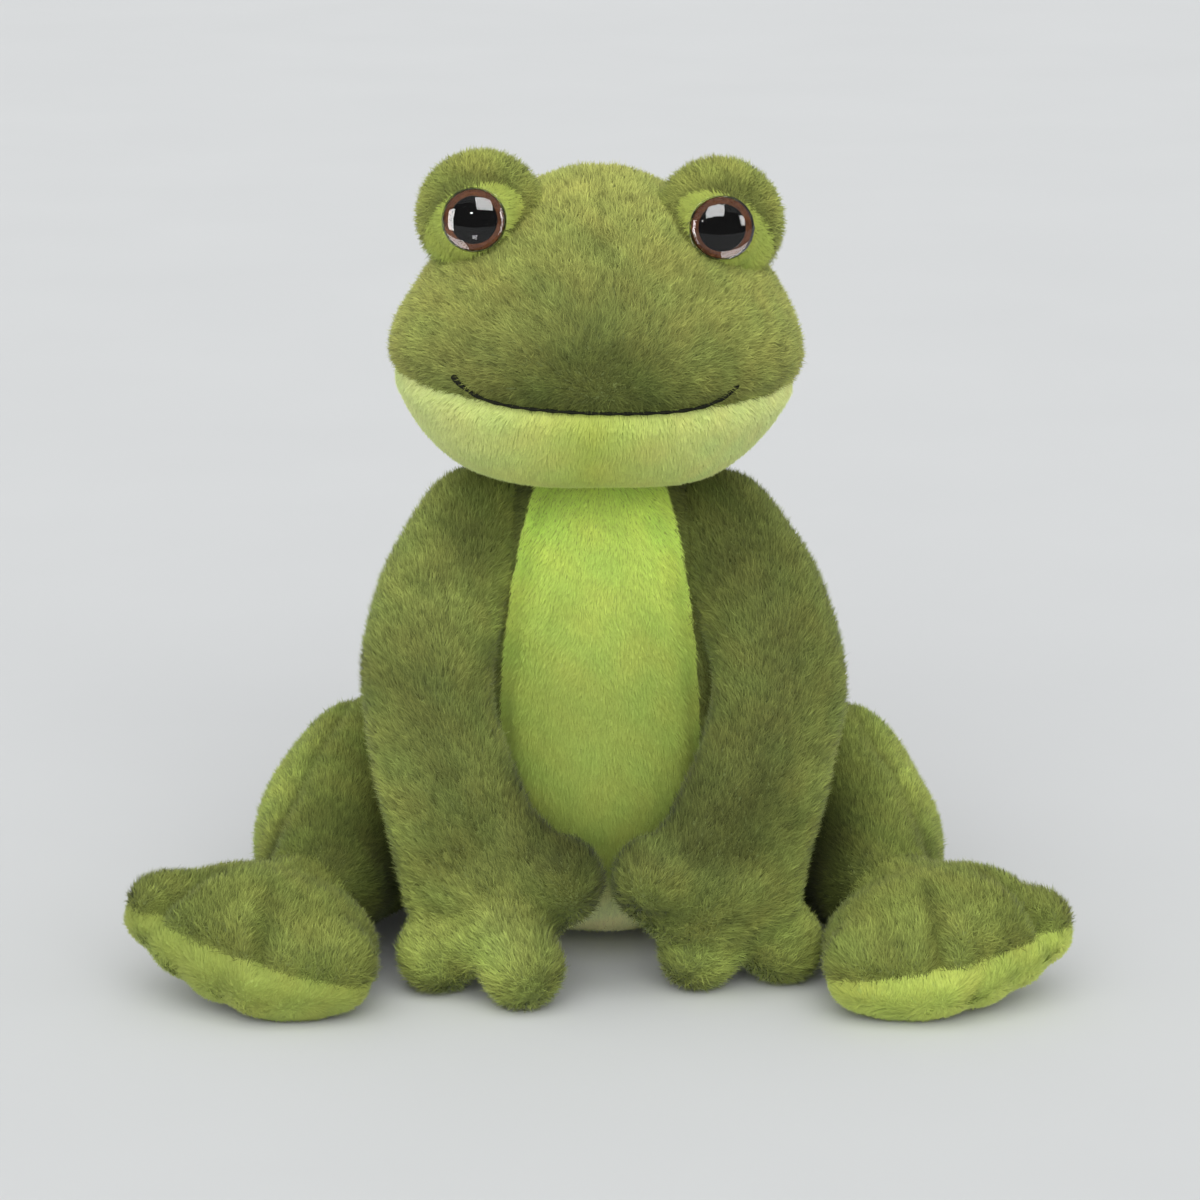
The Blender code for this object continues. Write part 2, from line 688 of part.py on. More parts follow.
def mound_pieces(name, side):
    level = math.cos(EYE_PITCH)
    out = Vector((side * math.sin(EYE_YAW) * level, -math.cos(EYE_YAW) * level, math.sin(EYE_PITCH)))
    across = UP.cross(out).normalized()
    turn = Matrix((across, out.cross(across), out)).transposed().to_4x4()
    place = OUT_X * side * MOUND_OUT - BACK_Y * MOUND_REACH + UP * MOUND_HEIGHT
    mound_axis = axis_empty(f"mound_{name}_middle", place, turn, neck_axis)
    eye_axis = axis_empty(f"eye_{name}_middle", -BACK_Y * EYE_DROP, None, mound_axis)
    outside = mound_form(f"mound_{name}_outside", 0, GAP, mound_axis)
    inside = mound_form(f"mound_{name}_inside", SKIN, -GAP, mound_axis)
    filling = mound_form(f"mound_{name}_filling", SKIN + FILL_GAP, FILL_GAP, mound_axis)
    seat = drum(
        f"seat_{name}", UP * EYE_SEAT, UP, EYE_RADIUS + GAP, EYE_RADIUS, MOUND_SEGMENTS, eye_axis
    )
    hole = drum(
        f"hole_{name}", Vector(), UP, POST_RADIUS + POST_RIB + GAP, 2 * EYE_SEAT, LIMB_SEGMENTS, eye_axis
    )
    patch = patch_region(f"patch_{name}", 0, eye_axis, side)
    around = patch_region(f"around_{name}", GAP, eye_axis, side)
    sewn_panel(f"eye_patch_{name}", LIGHT_PLUSH, outside, inside, [patch], [seat, hole], neck_axis)
    sewn_panel(f"eye_hood_{name}", DARK_PLUSH, outside, inside, [], [around, seat], neck_axis)
    washer_room = drum(
        f"washer_room_{name}",
        UP * (EYE_SEAT - WASHER_DEPTH - WASHER_THICK),
        UP,
        WASHER_RADIUS + GAP,
        EYE_SEAT,
        FORM_SEGMENTS,
        eye_axis,
    )
    post_room = drum(
        f"post_room_{name}",
        UP * (EYE_SEAT - POST_LENGTH - 2 * GAP),
        UP,
        POST_RADIUS + POST_RIB + GAP,
        EYE_SEAT,
        LIMB_SEGMENTS,
        eye_axis,
    )
    carve(filling, "DIFFERENCE", washer_room, post_room)
    filling.name = f"mound_{name}_fibre"
    dress(filling, FIBRE, neck_axis)
    eye_pieces(name, eye_axis)


def arm_place(name, side, out, reach, height):
    level = OUT_X * side * out * ARM_OUT[name] - BACK_Y * reach * ARM_REACH
    return level + UP * height * SHOULDER_HEIGHT


def arm_form(form_name, name, side, inset, fingers):
    """The arm, with its fingers on the outside of the skin alone, where they are sewn through."""
    stations = [
        (arm_place(name, side, out, reach, height), wide * ARM_RADIUS, thick * ARM_RADIUS)
        for out, reach, height, wide, thick in ARM_SHARES
    ]
    form = limb(form_name, stations, OUT_X, inset, LIMB_SEGMENTS)
    palm = stations[-1][0]
    for count, (out, reach, height, size) in enumerate(FINGER_SHARES[name][:fingers]):
        tip = arm_place(name, side, out, reach, height)
        radius = size * FINGER_RADIUS
        finger = [(palm.lerp(tip, FINGER_START_SHARE), radius, radius), (tip, radius, radius)]
        name_of = f"{form_name}_finger_{count}"
        carve(form, "UNION", limb(name_of, finger, OUT_X + BACK_Y, inset, FINGER_SEGMENTS))
    settle(form)
    shoulder = -BACK_Y * SHOULDER_REACH + UP * SHOULDER_HEIGHT
    seam = drum(
        f"{form_name}_seam",
        shoulder,
        OUT_X * side,
        SHOULDER_DRUM + inset,
        SHOULDER_SEAM + GAP + inset,
        FORM_SEGMENTS,
    )
    torso = body_swell(f"{form_name}_torso", -GAP - inset, FORM_SEGMENTS)
    carve(form, "DIFFERENCE", seam, torso, block(f"{form_name}_floor", UP * inset, -UP))
    return settle(form)


def arm_pieces(name, side):
    outside = arm_form(f"arm_{name}_outside", name, side, 0, FINGERS)
    inside = arm_form(f"arm_{name}_inside", name, side, SKIN, 0)
    filling = arm_form(f"arm_{name}_filling", name, side, SKIN + FILL_GAP, 0)
    palm_height = ARM_SHARES[-1][2] * SHOULDER_HEIGHT
    chord = Vector((0, -ARM_REACH + SHOULDER_REACH, palm_height - SHOULDER_HEIGHT)).normalized()
    upward = OUT_X.cross(chord).normalized()
    if upward.z < 0:
        upward.negate()
    place = -BACK_Y * (SHOULDER_REACH + ARM_SEAM_REACH) + UP * SHOULDER_HEIGHT
    upper = block(f"arm_{name}_upper", place + upward * GAP / 2, upward)
    under = block(f"arm_{name}_under", place - upward * GAP / 2, -upward)
    carrier = shoulder_axis[name]
    sewn_panel(f"arm_skin_upper_{name}", DARK_PLUSH, outside, inside, [upper], [], carrier)
    sewn_panel(f"arm_skin_under_{name}", DARK_PLUSH, outside, inside, [under], [], carrier)
    filling.name = f"arm_{name}_fibre"
    dress(filling, FIBRE, carrier)


def leg_swell(form_name, name, inset):
    start, end = haunch_middle[name], ankle_middle[name]
    stations = []
    for part, shrink in SHANK_SHARES:
        radius = HAUNCH_RADIUS + (ANKLE_RADIUS - HAUNCH_RADIUS) * shrink
        stations.append((start.lerp(end, part), radius, radius))
    return limb(form_name, stations, OUT_X, inset, LIMB_SEGMENTS)


def leg_form(form_name, name, side, inset):
    form = leg_swell(form_name, name, inset)
    face = hip_face(f"{form_name}_face", side, HIP_CURVE + inset)
    carve(form, "DIFFERENCE", face)
    return settle(form)


def leg_pieces(name, side):
    outside = leg_form(f"leg_{name}_outside", name, side, 0)
    inside = leg_form(f"leg_{name}_inside", name, side, SKIN)
    filling = leg_form(f"leg_{name}_filling", name, side, SKIN + FILL_GAP)
    course = ankle_middle[name] - haunch_middle[name]
    outward = Vector((-course.y, course.x, 0)).normalized()
    if outward.x * side < 0:
        outward.negate()
    place = haunch_middle[name] + outward * LEG_SEAM_OUT
    outer = block(f"leg_{name}_outer", place + outward * GAP / 2, outward)
    inner = block(f"leg_{name}_inner", place - outward * GAP / 2, -outward)
    carrier = hip_axis[name]
    sewn_panel(f"leg_skin_outer_{name}", LEG_PLUSH, outside, inside, [outer], [], carrier)
    sewn_panel(f"leg_skin_inner_{name}", LEG_PLUSH, outside, inside, [inner], [], carrier)
    filling.name = f"leg_{name}_fibre"
    dress(filling, FIBRE, carrier)


def shank_room(name, start, back, room):
    """A cone behind the ankle, as wide as the shank sweeps when the foot tips either way."""
    length = (HAUNCH_OUT + ANKLE_REACH) / 2
    taper = (HAUNCH_RADIUS - ANKLE_RADIUS) / (ANKLE_REACH + HIP_BACK)
    form = bmesh.new()
    bmesh.ops.create_cone(
        form,
        cap_ends=True,
        segments=FORM_SEGMENTS,
        radius1=ANKLE_RADIUS + room,
        radius2=ANKLE_RADIUS + room + length * math.tan(math.atan(taper) + ANKLE_SWING),
        depth=length,
        matrix=Matrix.Translation(start + back * length / 2) @ along(back),
    )
    return guide(name, form)


def foot_form(form_name, name, side, inset, toes):
    """The foot, with its toes on the outside of the skin alone, where they are sewn through."""
    middle = OUT_X * side * FOOT_OUT - BACK_Y * FOOT_REACH + UP * FOOT_HEIGHT
    radii = [FOOT_HALF_WIDTH - inset, FOOT_HALF_LENGTH - inset, FOOT_HALF_THICK - inset]
    form = ball(form_name, middle, radii, FORM_SEGMENTS)
    root = ankle_middle[name].lerp(middle, TOE_START_SHARE)
    for count, (out, reach, height, size) in enumerate(TOE_SHARES[name][:toes]):
        tip = OUT_X * side * out * FOOT_OUT - BACK_Y * reach * FOOT_REACH + UP * height * FOOT_HEIGHT
        toe = [(root, TOE_RADIUS, TOE_RADIUS), (tip, size * TOE_RADIUS, size * TOE_RADIUS)]
        carve(form, "UNION", limb(f"{form_name}_toe_{count}", toe, UP, inset, FINGER_SEGMENTS))
    settle(form)
    room = ANKLE_GAP + inset
    back = (haunch_middle[name] - ankle_middle[name]).normalized()
    carve(
        form,
        "DIFFERENCE",
        block(f"{form_name}_floor", UP * inset, -UP),
        ball(f"{form_name}_cup", ankle_middle[name], [ANKLE_RADIUS + room] * 3, FORM_SEGMENTS),
        shank_room(f"{form_name}_shank", ankle_middle[name], back, room),
    )
    return settle(form)


def foot_pieces(name, side):
    outside = foot_form(f"foot_{name}_outside", name, side, 0, TOES)
    inside = foot_form(f"foot_{name}_inside", name, side, SKIN, 0)
    filling = foot_form(f"foot_{name}_filling", name, side, SKIN + FILL_GAP, 0)
    place = OUT_X * side * FOOT_OUT - BACK_Y * FOOT_REACH + UP * SOLE_HEIGHT[name]
    upward = Matrix.Rotation(-side * SOLE_TILT[name], 3, "Y") @ UP
    above = block(f"foot_{name}_above", place + upward * GAP / 2, upward)
    below = block(f"foot_{name}_below", place - upward * GAP / 2, -upward)
    carrier = ankle_axis[name]
    sewn_panel(f"foot_top_skin_{name}", DARK_PLUSH, outside, inside, [above], [], carrier)
    sewn_panel(f"foot_sole_skin_{name}", LIGHT_PLUSH, outside, inside, [below], [], carrier)
    filling.name = f"foot_{name}_fibre"
    dress(filling, FIBRE, carrier)


body_pieces()
head_pieces()
for side_word, side_sign in SIDES:
    mound_pieces(side_word, side_sign)
    arm_pieces(side_word, side_sign)
    leg_pieces(side_word, side_sign)
    foot_pieces(side_word, side_sign)
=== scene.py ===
"""A seated plush frog in short green pile, photographed from the front on pale paper.

It faces -Y and its own left side is +X. Lengths are in metres, or in millimetres times MM.
"""

import math

import bmesh
import bpy
import numpy as np
from mathutils import Matrix, Vector


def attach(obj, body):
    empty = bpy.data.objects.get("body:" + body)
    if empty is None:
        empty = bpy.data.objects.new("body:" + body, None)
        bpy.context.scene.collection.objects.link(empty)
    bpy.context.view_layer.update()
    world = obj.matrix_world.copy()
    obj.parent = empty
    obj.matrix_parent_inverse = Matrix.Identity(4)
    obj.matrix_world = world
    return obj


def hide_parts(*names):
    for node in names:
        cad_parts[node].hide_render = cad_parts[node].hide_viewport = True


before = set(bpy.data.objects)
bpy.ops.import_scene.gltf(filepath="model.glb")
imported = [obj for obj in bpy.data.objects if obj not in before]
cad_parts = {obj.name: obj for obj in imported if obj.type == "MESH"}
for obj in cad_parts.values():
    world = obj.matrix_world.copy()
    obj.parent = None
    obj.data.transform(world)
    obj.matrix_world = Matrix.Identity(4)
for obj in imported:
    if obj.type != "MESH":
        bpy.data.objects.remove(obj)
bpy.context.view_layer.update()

# Studio: the toy sits on a sheet of pale grey paper, under one large soft light over the
# camera, a tall one at its left and a small one at its right.
scene = bpy.context.scene
scene.view_settings.view_transform = "Standard"

toy_middle = Vector((0, 0, 0.1055))
camera_distance = 1.5
camera_rise = math.radians(14)
camera_data = bpy.data.cameras.new("camera")
camera_data.lens = 137.4
camera_data.sensor_width = 36
camera = bpy.data.objects.new("camera", camera_data)
camera_way = Vector((0, -math.cos(camera_rise), math.sin(camera_rise)))
camera.location = toy_middle + camera_way * camera_distance
camera.rotation_euler = (math.radians(90) - camera_rise, 0, 0)
scene.collection.objects.link(camera)
scene.camera = camera


def soft_light(name, azimuth, height, distance, size, watts):
    """An area light, so many degrees round from the camera's side and up from the toy."""
    azimuth, height = math.radians(azimuth), math.radians(height)
    lamp = bpy.data.lights.new(name, "AREA")
    lamp.shape = "RECTANGLE"
    lamp.size, lamp.size_y = size
    lamp.energy = watts
    made = bpy.data.objects.new(name, lamp)
    level = math.cos(height)
    way = Vector((math.sin(azimuth) * level, -math.cos(azimuth) * level, math.sin(height)))
    made.location = toy_middle + way * distance
    made.rotation_euler = way.to_track_quat("Z", "Y").to_euler()
    made.visible_diffuse = False
    scene.collection.objects.link(made)


def even_light(name, way, strength):
    """Light from a wide stretch of the room, which shiny faces don't mirror."""
    lamp = bpy.data.lights.new(name, "SUN")
    lamp.energy = strength
    lamp.angle = math.radians(70)
    made = bpy.data.objects.new(name, lamp)
    made.rotation_euler = Vector(way).to_track_quat("Z", "Y").to_euler()
    made.visible_glossy = False
    made.visible_transmission = False
    scene.collection.objects.link(made)


soft_light("light_over", 4, 38, 1.6, (0.75, 0.62), 26)
soft_light("light_left", -52, 10, 1.5, (0.42, 0.85), 24)
soft_light("light_right", 48, 20, 1.5, (0.26, 0.34), 5)
soft_light("light_spark", -17, 22, 1.7, (0.07, 0.07), 0.8)
even_light("light_high", (-0.05, -0.7, 1), 1.0)
even_light("light_front", (0.05, -1, 0.25), 1.9)

room_light = 0.62
room_in_gloss = 0.12
more_in_view = 0.075
world = bpy.data.worlds.new("room")
world.use_nodes = True
room = world.node_tree.nodes["Background"]
room.inputs["Color"].default_value = (1, 1, 1, 1)
ray = world.node_tree.nodes.new("ShaderNodeLightPath")
dim = world.node_tree.nodes.new("ShaderNodeMapRange")
dim.inputs["To Min"].default_value = room_light
dim.inputs["To Max"].default_value = room_in_gloss
world.node_tree.links.new(ray.outputs["Is Glossy Ray"], dim.inputs["Value"])
seen = world.node_tree.nodes.new("ShaderNodeMath")
seen.operation = "MULTIPLY_ADD"
seen.inputs[1].default_value = more_in_view
world.node_tree.links.new(ray.outputs["Is Camera Ray"], seen.inputs[0])
world.node_tree.links.new(dim.outputs["Result"], seen.inputs[2])
world.node_tree.links.new(seen.outputs["Value"], room.inputs["Strength"])
scene.world = world


def linear(red, green, blue):
    """A colour as a screen shows it, from 0 to 255, as the light it stands for."""
    shown = np.array((red, green, blue)) / 255
    return np.where(shown <= 0.04045, shown / 12.92, ((shown + 0.055) / 1.055) ** 2.4)


def finish_of(name, colour, roughness):
    """A material of one colour and roughness, and its shader."""
    made = bpy.data.materials.new(name)
    made.use_nodes = True
    shader = made.node_tree.nodes["Principled BSDF"]
    shader.inputs["Base Color"].default_value = (*linear(*colour), 1)
    shader.inputs["Roughness"].default_value = roughness
    return made, shader


def link(made, source, target):
    made.node_tree.links.new(source, target)


def speckle(made, scale, detail=3):
    """A noise over the piece's own coordinates, and the value that it gives."""
    nodes = made.node_tree.nodes
    place = nodes.new("ShaderNodeTexCoord")
    noise = nodes.new("ShaderNodeTexNoise")
    noise.inputs["Scale"].default_value = scale
    noise.inputs["Detail"].default_value = detail
    link(made, place.outputs["Object"], noise.inputs["Vector"])
    return noise.outputs["Fac"]


def tinted(made, shader, value, low, high):
    """Runs the shader's colour between two colours by a value."""
    ramp = made.node_tree.nodes.new("ShaderNodeValToRGB")
    ramp.color_ramp.elements[0].position = 0.3
    ramp.color_ramp.elements[0].color = (*linear(*low), 1)
    ramp.color_ramp.elements[1].position = 0.7
    ramp.color_ramp.elements[1].color = (*linear(*high), 1)
    link(made, value, ramp.inputs["Fac"])
    link(made, ramp.outputs["Color"], shader.inputs["Base Color"])


paper, paper_shader = finish_of("paper", (212, 214, 215), 0.9)
paper_shader.inputs["Specular IOR Level"].default_value = 0
tinted(paper, paper_shader, speckle(paper, 6), (211, 213, 214), (213, 215, 216))
floor_form = bmesh.new()
bmesh.ops.create_grid(floor_form, x_segments=1, y_segments=1, size=40)
floor_mesh = bpy.data.meshes.new("paper_floor")
floor_form.to_mesh(floor_mesh)
floor_form.free()
floor = bpy.data.objects.new("paper_floor", floor_mesh)
scene.collection.objects.link(floor)
floor.data.materials.append(paper)

# Torso: a pear of fibre over a bag of pellets, in a skin of three plush panels, two dark
# ones at the back and a light one over the belly, sewn inside out and turned.
MM = 0.001
SIDES = (("left", 1), ("right", -1))
PILE_DEPTH = 1.3 * MM  # from the backing cloth up to the tips of the pile
SKIN_OFF_FLOOR = 1.2 * MM
FIBRE_OFF_FLOOR = 0.15 * MM
SEAM_ROOM = 3 * MM  # how far past a seam a panel's pile is first sown, before it is trimmed

# Rows of height, half width and half depth, from the neck down to the flat seat
TORSO = (
    (159, 0, 0),
    (156, 21, 20),
    (148, 28.5, 27.3),
    (130, 38.8, 38),
    (105, 47.3, 50),
    (80, 54, 60),
    (55, 56.6, 65),
    (35, 55.8, 62),
    (18, 50, 52.5),
    (6.5, 37.5, 40),
    (2.2, 26, 28),
    (1.6, 0, 0),
)
SHOULDER_ASIDE, SHOULDER_HEIGHT, SHOULDER_ROUND = 20, 127, 20


def hull_of(form, rings, segments=32):
    """Adds a closed form through rings of middle, half axis and half axis, top first."""
    last = len(rings) - 1
    made = bmesh.ops.create_uvsphere(form, u_segments=segments, v_segments=last, radius=1)
    for vert in made["verts"]:
        place = round(math.acos(max(-1, min(1, vert.co.z))) / math.pi * last)
        turn = math.atan2(vert.co.y, vert.co.x)
        middle, across, thick = rings[place]
        vert.co = middle + across * math.cos(turn) + thick * math.sin(turn)
    bmesh.ops.recalc_face_normals(form, faces=form.faces)


def level_ring(middle, half_width, half_depth):
    """A ring of a hull from millimetres, brought in by the depth of the pile."""
    return (
        Vector(middle) * MM,
        Vector((1, 0, 0)) * max(0, half_width * MM - PILE_DEPTH),
        Vector((0, 1, 0)) * max(0, half_depth * MM - PILE_DEPTH),
    )


def eased(rows, times=4):
    """More rows between rows of numbers, along a smooth line through them."""
    rows = [Vector(row) for row in rows]
    more = []
    for count in range(len(rows) - 1):
        before, first = rows[max(count - 1, 0)], rows[count]
        second, after = rows[count + 1], rows[min(count + 2, len(rows) - 1)]
        for step in range(times):
            part = step / times
            pull, push = (second - before) / 2, (after - first) / 2
            more.append(
                first * (2 * part**3 - 3 * part**2 + 1)
                + pull * (part**3 - 2 * part**2 + part)
                + second * (3 * part**2 - 2 * part**3)
                + push * (part**3 - part**2)
            )
    return [*more, rows[-1]]


def lobe(form, middle, radii, turn=None):
    """Adds an egg."""
    place = Matrix.Translation(middle) @ (turn or Matrix()) @ Matrix.Diagonal((*radii, 1))
    bmesh.ops.create_uvsphere(form, u_segments=24, v_segments=16, radius=1, matrix=place)


def stuffed(name, form, voxel, rounds):
    """One skin round all the lobes: remeshed, then relaxed where they meet."""
    mesh = bpy.data.meshes.new(name)
    form.to_mesh(mesh)
    form.free()
    made = bpy.data.objects.new(name, mesh)
    scene.collection.objects.link(made)
    remesh = made.modifiers.new("skin", "REMESH")
    remesh.mode = "VOXEL"
    remesh.voxel_size = voxel
    relax = made.modifiers.new("relax", "SMOOTH")
    relax.factor = 0.5
    relax.iterations = rounds
    bpy.context.view_layer.update()
    shaped = made.evaluated_get(bpy.context.evaluated_depsgraph_get())
    settled = bpy.data.meshes.new_from_object(shaped)
    made.modifiers.clear()
    made.data = settled
    made.data.shade_smooth()
    return made


def points_of(piece):
    found = np.empty(len(piece.data.vertices) * 3, np.float32)
    piece.data.vertices.foreach_get("co", found)
    return found.reshape(-1, 3).astype(float)


def normals_of(piece):
    found = np.empty(len(piece.data.vertices) * 3, np.float32)
    piece.data.vertex_normals.foreach_get("vector", found)
    return found.reshape(-1, 3).astype(float)


def press(piece, depth):
    """Sinks the skin along its normals by a depth for each point, and keeps it off the floor."""
    points = points_of(piece)
    points -= normals_of(piece) * depth(points)[:, None]
    points[:, 2] = np.maximum(points[:, 2], SKIN_OFF_FLOOR)
    piece.data.vertices.foreach_set("co", points.astype(np.float32).ravel())
    piece.data.update()


def rise(values, start, end):
    """0 up to the start, 1 from the end on, and even in between."""
    return np.clip((values - start) / (end - start), 0, 1)


def dent(distance, width, depth):
    """A soft furrow of a width and depth, along where the distance is nil."""
    return depth * np.exp(-((distance / width) ** 2))


def ripple(points, size, seed):
    """Soft waves of about a size, from -1 to 1."""
    wild = np.random.default_rng(seed)
    total = np.zeros(len(points))
    for _ in range(9):
        way = wild.normal(size=3)
        way *= 2 * math.pi / size * wild.uniform(0.6, 1.5) / np.linalg.norm(way)
        total += np.sin(points @ way + wild.uniform(0, 2 * math.pi))
    return np.clip(total / 4.2, -1, 1)


def ripples(points, size, seeds):
    """A soft wave for each axis."""
    return np.column_stack([ripple(points, size, seed) for seed in seeds])


def unit(ways):
    return ways / np.maximum(np.linalg.norm(ways, axis=1, keepdims=True), 1e-9)


def sown(skin, thick, grows, wild):
    """Where fibres root in the skin, so many to a square millimetre, and the way out of it."""
    skin.data.calc_loop_triangles()
    corner = np.empty(len(skin.data.loop_triangles) * 3, np.int32)
    skin.data.loop_triangles.foreach_get("vertices", corner)
    corner = corner.reshape(-1, 3)
    points, normals = points_of(skin), normals_of(skin)
    middle = points[corner].mean(axis=1)
    corner = corner[grows(middle, unit(normals[corner].sum(axis=1)), SEAM_ROOM)]
    first, second, third = (points[corner[:, place]] for place in range(3))
    area = np.linalg.norm(np.cross(second - first, third - first), axis=1) / 2
    many = np.floor(area / MM**2 * thick + wild.random(len(area))).astype(int)
    corner = corner[np.repeat(np.arange(len(corner)), many)]
    share = wild.random((len(corner), 2))
    over = share.sum(axis=1) > 1
    share[over] = 1 - share[over]
    share = np.column_stack([share, 1 - share.sum(axis=1)])[:, :, None]
    roots = (points[corner] * share).sum(axis=1)
    out = unit((normals[corner] * share).sum(axis=1))
    here = grows(roots, out, 0)
    return roots[here], out[here]


def combed(roots, out, comb, length, lean, soft, wild):
    """The tips of fibres that lie along the comb's way, each a little its own way."""
    way = comb(roots, out) + ripples(roots, 17 * MM, (1, 2, 3)) * 0.3
    way = way + wild.normal(size=way.shape) * 0.42 * soft
    way = unit(way - out * (way * out).sum(axis=1)[:, None])
    turn = np.radians(np.clip(lean + 13 * wild.normal(size=len(roots)) * soft, 8, 82))[:, None]
    reach = length * (1 + 0.16 * wild.normal(size=len(roots)))
    reach = np.clip(reach, 0.5 * MM, None)[:, None]
    return roots + reach * (out * np.cos(turn) + way * np.sin(turn))


def tufts_of(roots, size):
    """The tuft that each fibre belongs to, and the middle of each tuft."""
    place = roots + ripples(roots, 7 * MM, (4, 5, 6)) * 1.1 * MM
    cell = np.floor(place / size).astype(np.int64) @ np.array([1, 4096, 4096**2])
    tuft_of = np.unique(cell, return_inverse=True)[1].reshape(-1)
    many = np.bincount(tuft_of)[:, None]
    middle = np.column_stack([np.bincount(tuft_of, roots[:, axis]) for axis in range(3)]) / many
    return tuft_of, middle


def fibre_piece(name, verts, ways, shades, finish):
    """One object of loose three-cornered fibres, each with its own place on the map."""
    count = len(verts)
    mesh = bpy.data.meshes.new(name)
    mesh.vertices.add(count * 3)
    mesh.vertices.foreach_set("co", verts.astype(np.float32).ravel())
    mesh.loops.add(count * 3)
    mesh.loops.foreach_set("vertex_index", np.arange(count * 3, dtype=np.int32))
    mesh.polygons.add(count)
    mesh.polygons.foreach_set("loop_start", np.arange(0, count * 3, 3, dtype=np.int32))
    tone_map = mesh.attributes.new("pile_tone", "FLOAT_COLOR", "POINT")
    shades = shades.reshape(-1, 3)
    shades = np.column_stack([shades, np.ones(len(shades))]).astype(np.float32)
    tone_map.data.foreach_set("color", shades.ravel())
    cells = math.ceil(math.sqrt(count))
    spot = np.column_stack([np.arange(count) % cells, np.arange(count) // cells])[:, None, :]
    blade = np.array([[0.1, 0.1], [0.9, 0.1], [0.5, 0.9]])[None]
    places = ((spot + blade) / cells).reshape(-1, 2)
    mesh.uv_layers.new(name="OFBake").data.foreach_set("uv", places.astype(np.float32).ravel())
    mesh.update()
    mesh.shade_smooth()
    mesh.normals_split_custom_set_from_vertices(np.repeat(ways, 3, axis=0))
    made = bpy.data.objects.new(name, mesh)
    scene.collection.objects.link(made)
    made.data.materials.append(finish)
    return made


def pile(name, skin, finish, grows, colour, comb, length, lean=62, thick=5.0, tuft=2.0, soft=1.0):
    """The pile of one panel: thousands of fibres, combed one way and gathered into tufts.

    grows says where it grows, colour gives each fibre's colour and comb its direction; lean is
    its angle from upright, thick its fibres to a square millimetre, tuft the size of a tuft in
    millimetres and soft how much fibres differ.
    """
    wild = np.random.default_rng(sum(map(ord, name)))
    roots, out = sown(skin, thick, grows, wild)
    tips = combed(roots, out, comb, length, lean, soft, wild)
    tuft_of, tuft_middle = tufts_of(roots, tuft * MM)
    tips += (tuft_middle[tuft_of] - roots) * wild.uniform(0.3, 0.8, len(roots))[:, None]
    along = unit(tips - roots)
    flat = unit(np.cross(along, out) + out * wild.normal(size=(len(roots), 1)) * 0.3)
    width = 0.4 * MM * wild.uniform(0.75, 1.2, len(roots))[:, None]
    verts = np.stack([roots - flat * width / 2, roots + flat * width / 2, tips], axis=1)
    verts[:, :, 2] = np.maximum(verts[:, :, 2], FIBRE_OFF_FLOOR)
    lit_way = unit(out * 0.75 + unit(np.cross(flat, along)) * 0.4)
    # Painted shade at its root and painted light at its tip, and no two tufts quite alike
    tuft_tone, own_tone = wild.normal(size=len(tuft_middle))[tuft_of], wild.normal(size=len(roots))
    tone = 1 + soft * (0.11 * tuft_tone + 0.2 * own_tone)
    tone *= 1 + soft * (0.09 * ripple(roots, 20 * MM, 7) + 0.07 * ripple(roots, 6 * MM, 9))
    shade = colour(roots, out) * np.clip(tone, 0.4, 1.8)[:, None]
    shade[:, 0] *= 1 + 0.05 * ripple(roots, 15 * MM, 8)
    root_shade, tip_shade = shade * (1 - 0.3 * soft), shade * (1 + 0.2 * soft)
    shades = np.stack([root_shade, root_shade, tip_shade], axis=1)
    # Fibres that lie near each other on the panel lie near each other on its map
    x, y, z = roots.T
    order = np.lexsort((x // (2 * MM), z // (2 * MM), y // (6 * MM)))
    return fibre_piece(name, verts[order], lit_way[order], shades[order], finish)


def bumped(made, shader, value, strength, distance):
    bump = made.node_tree.nodes.new("ShaderNodeBump")
    bump.inputs["Strength"].default_value = strength
    bump.inputs["Distance"].default_value = distance
    link(made, value, bump.inputs["Height"])
    link(made, bump.outputs["Normal"], shader.inputs["Normal"])


def pile_finish(name):
    """Polyester pile: each fibre's own tone, softly shining where light grazes it."""
    made, shader = finish_of(name, (110, 130, 60), 0.62)
    tone = made.node_tree.nodes.new("ShaderNodeAttribute")
    tone.attribute_name = "pile_tone"
    vary = made.node_tree.nodes.new("ShaderNodeHueSaturation")
    spread = made.node_tree.nodes.new("ShaderNodeMapRange")
    spread.inputs["To Min"].default_value = 0.9
    spread.inputs["To Max"].default_value = 1.1
    link(made, speckle(made, 900), spread.inputs["Value"])
    link(made, spread.outputs["Result"], vary.inputs["Value"])
    link(made, tone.outputs["Color"], vary.inputs["Color"])
    link(made, vary.outputs["Color"], shader.inputs["Base Color"])
    shader.inputs["Specular IOR Level"].default_value = 0.04
    shader.inputs["Sheen Weight"].default_value = 0.12
    shader.inputs["Sheen Roughness"].default_value = 0.5
    return made


def cloth_finish(name, low, high):
    """The knitted backing cloth that the pile grows from."""
    made, shader = finish_of(name, low, 0.9)
    tinted(made, shader, speckle(made, 700), low, high)
    bumped(made, shader, speckle(made, 1500), 0.4, 0.3 * MM)
    return made


dark_pile = pile_finish("dark_green_pile")
light_pile = pile_finish("light_green_pile")
dark_cloth = cloth_finish("dark_green_backing", (108, 120, 58), (122, 134, 66))
light_cloth = cloth_finish("light_green_backing", (168, 186, 88), (178, 196, 96))
# Lengths of the dark pile on body and limbs and on head and feet, and the light plush, which
# is shorter, flatter, thicker and more even
LONG = 3.3 * MM
MIDDLING = 3.2 * MM
SHORN = {"length": 2.6 * MM, "lean": 68, "thick": 6.5, "soft": 0.3, "tuft": 0.9}


